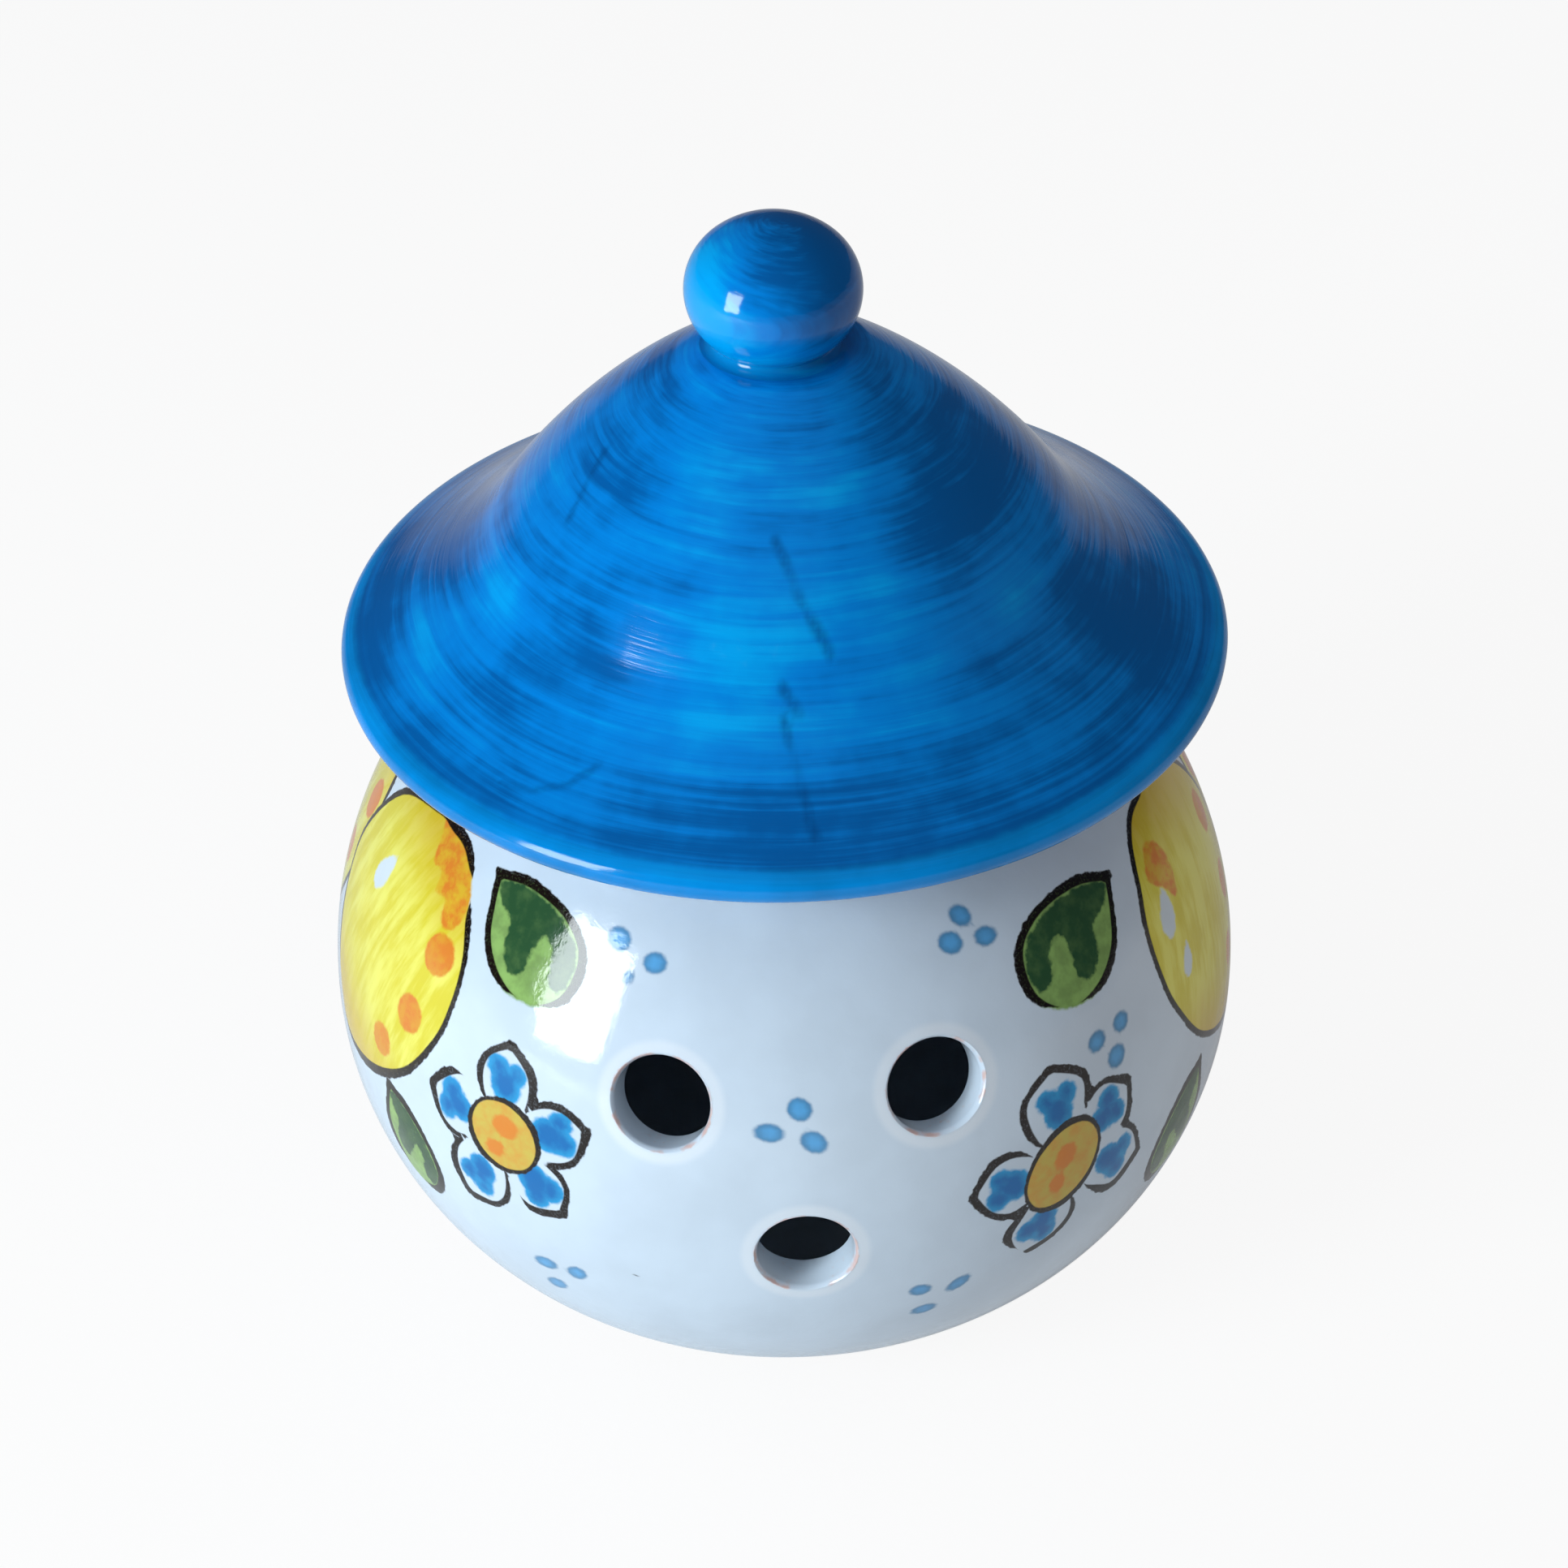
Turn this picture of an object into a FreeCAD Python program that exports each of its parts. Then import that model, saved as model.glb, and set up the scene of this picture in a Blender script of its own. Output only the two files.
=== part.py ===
import FreeCAD, Part
import math
import os
import Sketcher

# Glazed earthenware garlic keeper: a round pot with three vent holes, and a hat-shaped lid.
# The pot stands on its foot with its axis on Z and its vents towards -Y.
# The lid is a thrown hat with a stepped ring luted under it and a ball knob luted on top.
# All sizes are in millimetres and heights are measured from the table.

SIZES = {
    # Pot
    "pot_radius": 75.0,
    "belly_height": 53.0,
    "foot_radius": 37.08,
    "belly_upper_curve": 70.0,
    "pot_wall": 6.0,
    "floor_thickness": 6.0,
    "floor_round": 8.0,
    "foot_ring_width": 7.0,
    "foot_recess": 2.5,
    "neck_radius": 50.0,
    "neck_root_round": 5.0,
    "neck_height": 12.6,
    "rim_round": 1.5,
    # Vent holes, each bored square to the belly
    "vent_diameter": 15.0,
    "vent_flare": 1.4,
    "vent_left_height": 77.1,
    "vent_left_angle": -15.3,
    "vent_right_height": 78.8,
    "vent_right_angle": 19.2,
    "vent_low_height": 52.1,
    "vent_low_angle": 2.6,
    # Hat of the lid
    "lid_wall": 5.0,
    "brim_radius": 69.8,
    "brim_drop": 3.1,
    "brim_curve": 65.0,
    "turn_inset": 5.2,
    "turn_rise": 21.5,
    "land_radius": 12.5,
    "land_rise": 50.4,
    # Locating ring under the hat
    "spigot_clearance": 1.0,
    "spigot_depth": 12.0,
    "ring_wall": 5.0,
    "ring_inset": 1.5,
    "ring_edge_round": 1.0,
    # Knob
    "knob_radius": 13.4,
    "knob_side_curve": 10.0,
    "knob_height": 20.5,
    "knob_middle": 9.3,
    "knob_foot_radius": 9.6,
    "knob_neck_round": 1.2,
    "knob_offset": 1.6,
}

# Sizes that follow from the driving ones
WORKED_OUT = {
    "belly_lower_curve": "((pot_radius - foot_radius)^2 + belly_height^2) / (2 * (pot_radius - foot_radius))",
    "neck_root_offset": "neck_radius + neck_root_round - (pot_radius - belly_upper_curve)",
    "neck_root_height": "belly_height + sqrt((belly_upper_curve + neck_root_round)^2 - neck_root_offset^2)",
    "rim_height": "neck_root_height + neck_height",
    "turn_radius": "neck_radius - turn_inset",
}

VENTS = ("vent_left", "vent_right", "vent_low")

# Formulas that several sub-parts share
MOUTH_RADIUS = "sizes.neck_radius - sizes.pot_wall"
SPIGOT_RADIUS = f"{MOUTH_RADIUS} - sizes.spigot_clearance"
LIP_HEIGHT = "sizes.rim_height - sizes.brim_drop"
LAND_HEIGHT = f"{LIP_HEIGHT} + sizes.land_rise"

# How a sketch numbers its own origin and upright axis, and the points of a line or an arc
ORIGIN, AXIS = -1, -2
START, END, CENTRE = range(1, 4)

doc = FreeCAD.newDocument("garlic_keeper")


def make_sheet():
    """All sizes, one to a row, with the size's name as its alias; a worked-out one is a formula."""
    sheet = doc.addObject("Spreadsheet::Sheet", "sizes")
    formulas = {name: f"={formula}" for name, formula in WORKED_OUT.items()}
    for row, (name, value) in enumerate({**SIZES, **formulas}.items(), start=1):
        sheet.set(f"A{row}", name)
        sheet.set(f"B{row}", str(value))
        sheet.setAlias(f"B{row}", name)
        doc.recompute()
    return sheet


sheet = make_sheet()


def size(name):
    """A size as the sheet holds it."""
    return float(sheet.get(name))


class Outline:
    """A half section on a body's XZ plane: sketch x is the radius, sketch y is the height."""

    def __init__(self, body, name):
        self.sketch = body.newObject("Sketcher::SketchObject", name)
        plane = next(f for f in body.Origin.OriginFeatures if f.Role == "XZ_Plane")
        self.sketch.AttachmentSupport = [(plane, "")]
        self.sketch.MapMode = "FlatFace"

    def line(self, start, end):
        segment = Part.LineSegment(FreeCAD.Vector(*start, 0), FreeCAD.Vector(*end, 0))
        return self.sketch.addGeometry(segment, False)

    def arc(self, centre, radius, start, end):
        """An arc that runs anticlockwise from one angle to the other, in radians."""
        circle = Part.Circle(FreeCAD.Vector(*centre, 0), FreeCAD.Vector(0, 0, 1), radius)
        return self.sketch.addGeometry(Part.ArcOfCircle(circle, start, end), False)

    def rule(self, *words):
        return self.sketch.addConstraint(Sketcher.Constraint(*words))

    def join(self, first, first_end, second, second_end):
        self.rule("Coincident", first, first_end, second, second_end)

    def smooth(self, first, first_end, second, second_end):
        self.rule("Tangent", first, first_end, second, second_end)

    def on_axis(self, element, end):
        self.rule("PointOnObject", element, end, AXIS)

    def bind(self, name, number, formula):
        self.sketch.renameConstraint(number, name)
        self.sketch.setExpression(f"Constraints.{name}", formula)

    def radius_of(self, name, element, formula):
        value = self.sketch.Geometry[element].Radius
        self.bind(name, self.rule("Radius", element, value), formula)

    def place(self, name, element, end, x=None, height=None):
        """Holds a point of an element at a distance from the axis, at a height, or at both."""
        point = self.sketch.getPoint(element, end)
        if x is not None:
            number = self.rule("DistanceX", ORIGIN, START, element, end, point.x)
            self.bind(f"{name}_x", number, x)
        if height is not None:
            number = self.rule("DistanceY", ORIGIN, START, element, end, point.y)
            self.bind(f"{name}_height", number, height)

    def measure(self, name, element, end):
        """Reference measures of a point, for another body's outline to follow."""
        point = self.sketch.getPoint(element, end)
        for suffix, kind, value in (("x", "DistanceX", point.x), ("height", "DistanceY", point.y)):
            number = self.rule(kind, ORIGIN, START, element, end, value)
            self.sketch.renameConstraint(number, f"{name}_{suffix}")
            self.sketch.setDriving(number, False)

    def measure_radius(self, name, element):
        """A reference measure of an arc's radius, for another body's outline to follow."""
        number = self.rule("Radius", element, self.sketch.Geometry[element].Radius)
        self.sketch.renameConstraint(number, name)
        self.sketch.setDriving(number, False)


def new_body(name):
    body = doc.addObject("PartDesign::Body", name)
    body.Label = name
    return body


def revolve(body, outline):
    """Turns a half section into a full ring of clay about the sketch's upright axis."""
    turned = body.newObject("PartDesign::Revolution", f"{body.Name}_turned")
    turned.Profile = outline.sketch
    turned.ReferenceAxis = (outline.sketch, ["V_Axis"])
    turned.Angle = 360
    outline.sketch.Visibility = False
    doc.recompute()
    return turned


def across(radius, side):
    """The other leg of a right triangle with this hypotenuse."""
    return math.sqrt(radius**2 - side**2)


def draw_pot(pot):
    """The pot's section: foot ring, belly of two arcs, upright neck and rounded rim."""
    radius, belly, wall = size("pot_radius"), size("belly_height"), size("pot_wall")
    low, high = size("belly_lower_curve"), size("belly_upper_curve")
    recess, neck, root = size("foot_recess"), size("neck_radius"), size("neck_root_round")
    rim, rim_round, floor_round = size("rim_height"), size("rim_round"), size("floor_round")
    low_centre, high_centre = (radius - low, belly), (radius - high, belly)
    foot = low_centre[0] + across(low, belly)
    foot_inside = foot - size("foot_ring_width")
    floor = recess + size("floor_thickness")
    root_centre = (neck + root, size("neck_root_height"))
    root_angle = math.atan2(root_centre[1] - belly, root_centre[0] - high_centre[0])
    mouth = neck - wall
    floor_reach = across(low - wall - floor_round, belly - floor - floor_round)
    floor_centre = (low_centre[0] + floor_reach, floor + floor_round)
    floor_angle = math.atan2(floor_centre[1] - belly, floor_reach)
    quarter = math.pi / 2

    cut = Outline(pot, "pot_outline")
    recess_face = cut.line((0, recess), (foot_inside, recess))
    recess_side = cut.line((foot_inside, recess), (foot_inside, 0))
    foot_face = cut.line((foot_inside, 0), (foot, 0))
    low_arc = cut.arc(low_centre, low, -math.asin(belly / low), 0)
    high_arc = cut.arc(high_centre, high, 0, root_angle)
    root_arc = cut.arc(root_centre, root, math.pi, math.pi + root_angle)
    neck_line = cut.line((neck, root_centre[1]), (neck, rim - rim_round))
    rim_out = cut.arc((neck - rim_round, rim - rim_round), rim_round, 0, quarter)
    rim_face = cut.line((neck - rim_round, rim), (mouth + rim_round, rim))
    rim_in = cut.arc((mouth + rim_round, rim - rim_round), rim_round, quarter, math.pi)
    mouth_line = cut.line((mouth, rim - rim_round), (mouth, root_centre[1]))
    root_inside = cut.arc(root_centre, root + wall, math.pi, math.pi + root_angle)
    high_inside = cut.arc(high_centre, high - wall, 0, root_angle)
    low_inside = cut.arc(low_centre, low - wall, floor_angle, 0)
    floor_arc = cut.arc(floor_centre, floor_round, -quarter, floor_angle)
    floor_line = cut.line((floor_centre[0], floor), (0, floor))
    axis_line = cut.line((0, floor), (0, recess))

    cut.join(recess_face, END, recess_side, START)
    cut.join(recess_side, END, foot_face, START)
    cut.join(foot_face, END, low_arc, START)
    cut.join(low_arc, END, high_arc, START)
    cut.smooth(high_arc, END, root_arc, END)
    cut.smooth(root_arc, START, neck_line, START)
    cut.smooth(neck_line, END, rim_out, START)
    cut.smooth(rim_out, END, rim_face, START)
    cut.smooth(rim_face, END, rim_in, START)
    cut.smooth(rim_in, END, mouth_line, START)
    cut.smooth(mouth_line, END, root_inside, START)
    cut.smooth(root_inside, END, high_inside, END)
    cut.join(high_inside, START, low_inside, END)
    cut.smooth(low_inside, START, floor_arc, END)
    cut.smooth(floor_arc, START, floor_line, START)
    cut.join(floor_line, END, axis_line, START)
    cut.join(axis_line, END, recess_face, START)
    cut.join(high_inside, CENTRE, high_arc, CENTRE)
    cut.join(low_inside, CENTRE, low_arc, CENTRE)
    cut.join(root_inside, CENTRE, root_arc, CENTRE)
    for level in (recess_face, foot_face, rim_face, floor_line):
        cut.rule("Horizontal", level)
    for upright in (recess_side, neck_line, axis_line):
        cut.rule("Vertical", upright)
    cut.on_axis(axis_line, START)

    cut.place("recess", recess_face, END, height="sizes.foot_recess")
    cut.place("foot", foot_face, START, height="0")
    cut.place("floor", floor_line, END, height="sizes.foot_recess + sizes.floor_thickness")
    foot_ring = cut.rule("DistanceX", foot_face, START, foot_face, END, foot - foot_inside)
    cut.bind("foot_ring", foot_ring, "sizes.foot_ring_width")
    low_x = "sizes.pot_radius - sizes.belly_lower_curve"
    high_x = "sizes.pot_radius - sizes.belly_upper_curve"
    cut.place("low_centre", low_arc, CENTRE, x=low_x, height="sizes.belly_height")
    cut.place("high_centre", high_arc, CENTRE, x=high_x, height="sizes.belly_height")
    cut.place("belly", low_arc, END, height="sizes.belly_height")
    cut.place("belly_inside", low_inside, END, height="sizes.belly_height")
    cut.radius_of("low_curve", low_arc, "sizes.belly_lower_curve")
    cut.radius_of("low_inside_curve", low_inside, "sizes.belly_lower_curve - sizes.pot_wall")
    cut.radius_of("root_curve", root_arc, "sizes.neck_root_round")
    cut.radius_of("rim_out_curve", rim_out, "sizes.rim_round")
    cut.radius_of("rim_in_curve", rim_in, "sizes.rim_round")
    cut.radius_of("floor_curve", floor_arc, "sizes.floor_round")
    cut.place("neck", neck_line, END, x="sizes.neck_radius")
    cut.place("mouth", mouth_line, START, x=MOUTH_RADIUS)
    cut.place("rim", rim_face, START, height="sizes.rim_height")
    return cut


def set_on_vent_axis(tool, vent, curve, reach):
    """Lays a tool's own axis square to the belly at a vent, this far out from the belly curve's centre."""
    turn = f"sizes.{vent}_angle"
    tilt = f"asin((sizes.{vent}_height - sizes.belly_height) / {curve})"
    out = f"(sizes.pot_radius - {curve} + {reach} * cos({tilt}))"
    tool.setExpression("Placement.Base.x", f"{out} * sin({turn})")
    tool.setExpression("Placement.Base.y", f"-{out} * cos({turn})")
    tool.setExpression("Placement.Base.z", f"sizes.belly_height + {reach} * sin({tilt})")
    tool.setExpression("Placement.Rotation.Yaw", turn)
    tool.setExpression("Placement.Rotation.Roll", f"90 deg - {tilt}")


def bore_vent(pot, vent):
    """A straight hole through the belly, with a flare that opens its outer edge."""
    below = size(f"{vent}_height") < size("belly_height")
    curve = "sizes.belly_lower_curve" if below else "sizes.belly_upper_curve"
    bore = pot.newObject("PartDesign::SubtractiveCylinder", f"{vent}_bore")
    bore.setExpression("Radius", "sizes.vent_diameter / 2")
    bore.setExpression("Height", f"{curve} + sizes.pot_wall")
    set_on_vent_axis(bore, vent, curve, "0")
    doc.recompute()
    flare = pot.newObject("PartDesign::SubtractiveCone", f"{vent}_flare")
    flare.setExpression("Radius1", "sizes.vent_diameter / 2")
    flare.setExpression("Radius2", "sizes.vent_diameter / 2 + 2 * sizes.vent_flare")
    flare.setExpression("Height", "2 * sizes.vent_flare")
    set_on_vent_axis(flare, vent, curve, f"({curve} - sizes.vent_flare)")
    doc.recompute()


def make_pot():
    """The pot, with its three vents bored through the front."""
    pot = new_body("pot")
    revolve(pot, draw_pot(pot))
    for vent in VENTS:
        solid = pot.Shape.Volume
        bore_vent(pot, vent)
        if not pot.Shape.Volume < solid:
            raise RuntimeError(f"{vent} cuts nothing")
    return pot


def hat_curve_centres():
    """Where the hat's two curves are centred: the brim's above it, the crown's on the axis side."""
    wall, curve = size("lid_wall"), size("brim_curve")
    lip = (size("brim_radius") - wall / 2, size("rim_height") - size("brim_drop"))
    turn = (size("turn_radius"), lip[1] + size("turn_rise"))
    land = (size("land_radius"), lip[1] + size("land_rise"))
    apart = math.dist(lip, turn)
    from_lip = curve + wall / 2
    along = (from_lip**2 - curve**2 + apart**2) / (2 * apart)
    aside = across(from_lip, along)
    unit = ((turn[0] - lip[0]) / apart, (turn[1] - lip[1]) / apart)
    brim_x = lip[0] + along * unit[0] + aside * unit[1]
    brim_height = lip[1] + along * unit[1] - aside * unit[0]
    normal = ((turn[0] - brim_x) / curve, (turn[1] - brim_height) / curve)
    chord = (land[0] - turn[0], land[1] - turn[1])
    crown_curve = math.hypot(*chord) ** 2 / (2 * (chord[0] * normal[0] + chord[1] * normal[1]))
    crown = (turn[0] + crown_curve * normal[0], turn[1] + crown_curve * normal[1])
    return (brim_x, brim_height), crown, crown_curve


def angle_from(centre, point):
    return math.atan2(point[1] - centre[1], point[0] - centre[0]) % (2 * math.pi)


def draw_hat(hat):
    """The hat's section: a brim that flares out, a rounded crown and a flat land for the knob."""
    wall, curve = size("lid_wall"), size("brim_curve")
    lip = (size("brim_radius") - wall / 2, size("rim_height") - size("brim_drop"))
    turn = (size("turn_radius"), lip[1] + size("turn_rise"))
    land = (size("land_radius"), lip[1] + size("land_rise"))
    brim_centre, crown_centre, crown_curve = hat_curve_centres()
    ceiling = land[1] - wall
    ceiling_x = crown_centre[0] + across(crown_curve - wall, ceiling - crown_centre[1])
    brim_start, brim_end = angle_from(brim_centre, turn), angle_from(brim_centre, lip)
    crown_start = angle_from(crown_centre, turn)
    crown_end = angle_from(crown_centre, land)
    inside_end = angle_from(crown_centre, (ceiling_x, ceiling))

    cut = Outline(hat, "hat_outline")
    axis_line = cut.line((0, ceiling), (0, land[1]))
    land_line = cut.line((0, land[1]), land)
    crown = cut.arc(crown_centre, crown_curve, crown_start, crown_end)
    brim = cut.arc(brim_centre, curve, brim_start, brim_end)
    lip_arc = cut.arc(lip, wall / 2, brim_end, brim_end + math.pi)
    brim_inside = cut.arc(brim_centre, curve + wall, brim_start, brim_end)
    crown_inside = cut.arc(crown_centre, crown_curve - wall, crown_start, inside_end)
    ceiling_line = cut.line((ceiling_x, ceiling), (0, ceiling))

    cut.join(axis_line, END, land_line, START)
    cut.join(land_line, END, crown, END)
    cut.smooth(crown, START, brim, START)
    cut.smooth(brim, END, lip_arc, END)
    cut.smooth(lip_arc, START, brim_inside, END)
    cut.smooth(brim_inside, START, crown_inside, START)
    cut.join(crown_inside, END, ceiling_line, START)
    cut.join(ceiling_line, END, axis_line, START)
    cut.join(brim_inside, CENTRE, brim, CENTRE)
    cut.join(crown_inside, CENTRE, crown, CENTRE)
    cut.rule("Vertical", axis_line)
    cut.rule("Horizontal", land_line)
    cut.rule("Horizontal", ceiling_line)
    cut.on_axis(axis_line, START)

    cut.radius_of("brim_curve", brim, "sizes.brim_curve")
    cut.radius_of("under_curve", brim_inside, "sizes.brim_curve + sizes.lid_wall")
    cut.place("lip", lip_arc, CENTRE, x="sizes.brim_radius - sizes.lid_wall / 2", height=LIP_HEIGHT)
    cut.place("turn", brim, START, x="sizes.turn_radius", height=f"{LIP_HEIGHT} + sizes.turn_rise")
    cut.place("land", land_line, END, x="sizes.land_radius", height=LAND_HEIGHT)
    cut.place("ceiling", ceiling_line, START, height=f"{LAND_HEIGHT} - sizes.lid_wall")
    cut.measure("brim_centre", brim, CENTRE)
    cut.measure("turn_inside", brim_inside, START)
    cut.measure_radius("crown_inside_curve", crown_inside)
    return cut


def make_hat():
    hat = new_body("lid_hat")
    revolve(hat, draw_hat(hat))
    return hat


def draw_ring(ring):
    """The ring's section: a spigot inside the mouth, a step on the rim, and a top that fits under the hat."""
    seat, outside = size("rim_height"), size("neck_radius") - size("ring_inset")
    spigot = size("neck_radius") - size("pot_wall") - size("spigot_clearance")
    inside = spigot - size("ring_wall")
    bottom, soft = seat - size("spigot_depth"), size("ring_edge_round")
    quarter = math.pi / 2
    brim_centre, crown_centre, crown_curve = hat_curve_centres()
    under_brim, under_crown = size("brim_curve") + size("lid_wall"), crown_curve - size("lid_wall")
    top_outside = brim_centre[1] - across(under_brim, brim_centre[0] - outside)
    top_inside = crown_centre[1] + across(under_crown, inside - crown_centre[0])
    turn = angle_from(brim_centre, crown_centre)

    cut = Outline(ring, "ring_outline")
    bottom_line = cut.line((inside + soft, bottom), (spigot - soft, bottom))
    outer_round = cut.arc((spigot - soft, bottom + soft), soft, -quarter, 0)
    spigot_line = cut.line((spigot, bottom + soft), (spigot, seat))
    seat_line = cut.line((spigot, seat), (outside, seat))
    outside_line = cut.line((outside, seat), (outside, top_outside))
    brim_top = cut.arc(brim_centre, under_brim, turn, angle_from(brim_centre, (outside, top_outside)))
    crown_end = angle_from(crown_centre, (inside, top_inside))
    crown_top = cut.arc(crown_centre, under_crown, turn - math.pi, crown_end)
    inside_line = cut.line((inside, top_inside), (inside, bottom + soft))
    inner_round = cut.arc((inside + soft, bottom + soft), soft, math.pi, math.pi + quarter)

    cut.smooth(bottom_line, END, outer_round, START)
    cut.smooth(outer_round, END, spigot_line, START)
    cut.join(spigot_line, END, seat_line, START)
    cut.join(seat_line, END, outside_line, START)
    cut.join(outside_line, END, brim_top, END)
    cut.smooth(brim_top, START, crown_top, START)
    cut.join(crown_top, END, inside_line, START)
    cut.smooth(inside_line, END, inner_round, START)
    cut.smooth(inner_round, END, bottom_line, START)
    for level in (bottom_line, seat_line):
        cut.rule("Horizontal", level)
    for upright in (spigot_line, outside_line, inside_line):
        cut.rule("Vertical", upright)

    cut.place("bottom", bottom_line, START, height="sizes.rim_height - sizes.spigot_depth")
    cut.place("inside", inside_line, END, x=f"{SPIGOT_RADIUS} - sizes.ring_wall")
    cut.place("spigot", seat_line, START, x=SPIGOT_RADIUS, height="sizes.rim_height")
    cut.place("outside", seat_line, END, x="sizes.neck_radius - sizes.ring_inset")
    cut.place(
        "brim_top_centre",
        brim_top,
        CENTRE,
        x="hat_outline.Constraints.brim_centre_x",
        height="hat_outline.Constraints.brim_centre_height",
    )
    cut.place("turn", brim_top, START, x="hat_outline.Constraints.turn_inside_x")
    cut.radius_of("brim_top_curve", brim_top, "sizes.brim_curve + sizes.lid_wall")
    cut.radius_of("crown_top_curve", crown_top, "hat_outline.Constraints.crown_inside_curve")
    cut.radius_of("outer_edge", outer_round, "sizes.ring_edge_round")
    cut.radius_of("inner_edge", inner_round, "sizes.ring_edge_round")
    return cut


def make_ring():
    """The locating ring: it stands on the pot's rim and keeps the lid centred in the mouth."""
    ring = new_body("lid_locating_ring")
    revolve(ring, draw_ring(ring))
    return ring


def draw_knob(knob):
    """The knob's section, from its own foot up: a short neck under a slightly flattened ball."""
    radius, side, height = size("knob_radius"), size("knob_side_curve"), size("knob_height")
    middle, foot, neck = size("knob_middle"), size("knob_foot_radius"), size("knob_neck_round")
    side_centre = (radius - side, middle)
    rise = height - middle
    top_curve = (rise**2 + side_centre[0] ** 2 - side**2) / (2 * (rise - side))
    top_centre = (0, height - top_curve)
    seam_angle = angle_from(top_centre, side_centre)
    apart = math.dist(side_centre, (foot, 0))
    along = ((side + neck) ** 2 - neck**2 + apart**2) / (2 * apart)
    aside = across(side + neck, along)
    unit = ((foot - side_centre[0]) / apart, -middle / apart)
    neck_centre = (
        side_centre[0] + along * unit[0] - aside * unit[1],
        side_centre[1] + along * unit[1] + aside * unit[0],
    )
    neck_angle = angle_from(side_centre, neck_centre)

    cut = Outline(knob, "knob_outline")
    axis_line = cut.line((0, height), (0, 0))
    foot_line = cut.line((0, 0), (foot, 0))
    neck_end = angle_from(neck_centre, (foot, 0))
    neck_arc = cut.arc(neck_centre, neck, neck_angle - math.pi, neck_end)
    side_arc = cut.arc(side_centre, side, neck_angle - 2 * math.pi, seam_angle)
    top_arc = cut.arc(top_centre, top_curve, seam_angle, math.pi / 2)

    cut.join(axis_line, END, foot_line, START)
    cut.join(foot_line, END, neck_arc, END)
    cut.smooth(neck_arc, START, side_arc, START)
    cut.smooth(side_arc, END, top_arc, START)
    cut.join(top_arc, END, axis_line, START)
    cut.rule("Vertical", axis_line)
    cut.rule("Horizontal", foot_line)
    cut.on_axis(axis_line, END)
    cut.on_axis(top_arc, CENTRE)

    cut.place("foot", foot_line, END, x="sizes.knob_foot_radius", height="0")
    side_x = "sizes.knob_radius - sizes.knob_side_curve"
    cut.place("side_centre", side_arc, CENTRE, x=side_x, height="sizes.knob_middle")
    cut.radius_of("side_curve", side_arc, "sizes.knob_side_curve")
    cut.radius_of("neck_curve", neck_arc, "sizes.knob_neck_round")
    cut.place("top", top_arc, END, height="sizes.knob_height")
    return cut


def make_knob():
    """The knob, set on the hat's flat land a little to one side, as the hand left it."""
    knob = new_body("lid_knob")
    revolve(knob, draw_knob(knob))
    knob.setExpression("Placement.Base.x", "-sizes.knob_offset")
    knob.setExpression("Placement.Base.z", LAND_HEIGHT)
    doc.recompute()
    return knob


def write_parts(parts):
    """Checks the whole document, then writes each sub-part to a file of its own name."""
    for item in doc.Objects:
        if "Invalid" in item.State or "Error" in item.State:
            raise RuntimeError(f"{item.Name} did not build: {item.State}")
    for part in parts:
        shape = part.Shape
        if shape.isNull() or not shape.isValid() or len(shape.Solids) != 1:
            raise RuntimeError(f"{part.Label} is not one sound solid")
    os.makedirs("parts", exist_ok=True)
    for part in parts:
        part.Shape.exportStep(f"parts/{part.Label}.step")
        box = part.Shape.BoundBox
        print(part.Label, round(part.Shape.Volume), "mm3, z", round(box.ZMin, 2), round(box.ZMax, 2))


write_parts([make_pot(), make_hat(), make_ring(), make_knob()])
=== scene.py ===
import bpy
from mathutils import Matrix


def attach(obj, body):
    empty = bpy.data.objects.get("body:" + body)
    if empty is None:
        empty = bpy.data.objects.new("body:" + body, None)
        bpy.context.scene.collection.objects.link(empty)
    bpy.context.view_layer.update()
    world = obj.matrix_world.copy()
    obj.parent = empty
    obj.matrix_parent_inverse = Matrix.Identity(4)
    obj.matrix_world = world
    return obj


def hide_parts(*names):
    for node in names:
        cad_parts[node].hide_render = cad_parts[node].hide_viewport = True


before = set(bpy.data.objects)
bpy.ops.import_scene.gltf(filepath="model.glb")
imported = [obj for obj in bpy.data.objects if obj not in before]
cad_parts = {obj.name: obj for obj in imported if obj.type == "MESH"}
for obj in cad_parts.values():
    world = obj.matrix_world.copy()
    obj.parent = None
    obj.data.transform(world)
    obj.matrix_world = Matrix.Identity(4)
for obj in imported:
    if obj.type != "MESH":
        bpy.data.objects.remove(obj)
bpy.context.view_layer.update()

import math

import bpy
import numpy as np
from bpy.props import FloatProperty, FloatVectorProperty, IntProperty, PointerProperty
from mathutils import Vector

bl_info = {
    "name": "Garlic keeper",
    "version": (1, 0, 0),
    "blender": (4, 5, 0),
    "location": "View3D > Sidebar > Garlic keeper",
    "description": "Throws, glazes and lights a painted earthenware garlic keeper",
    "category": "Object",
}

MM = 0.001
SEED = 7
# How much wider the loaded brush paints than the drawn half widths
BRUSH = 1.14


def from_screen(red, green, blue):
    """A colour as a screen shows it, 0 to 255, turned into the light that the shaders work with."""
    shares = (part / 255 for part in (red, green, blue))
    return tuple(s / 12.92 if s < 0.04045 else ((s + 0.055) / 1.055) ** 2.4 for s in shares)


def length(name, description, millimetres):
    return FloatProperty(
        name=name, description=description, default=millimetres * MM, subtype="DISTANCE", unit="LENGTH"
    )


def colour(name, description, red, green, blue):
    return FloatVectorProperty(
        name=name, description=description, default=from_screen(red, green, blue), subtype="COLOR", min=0, max=1
    )


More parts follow.
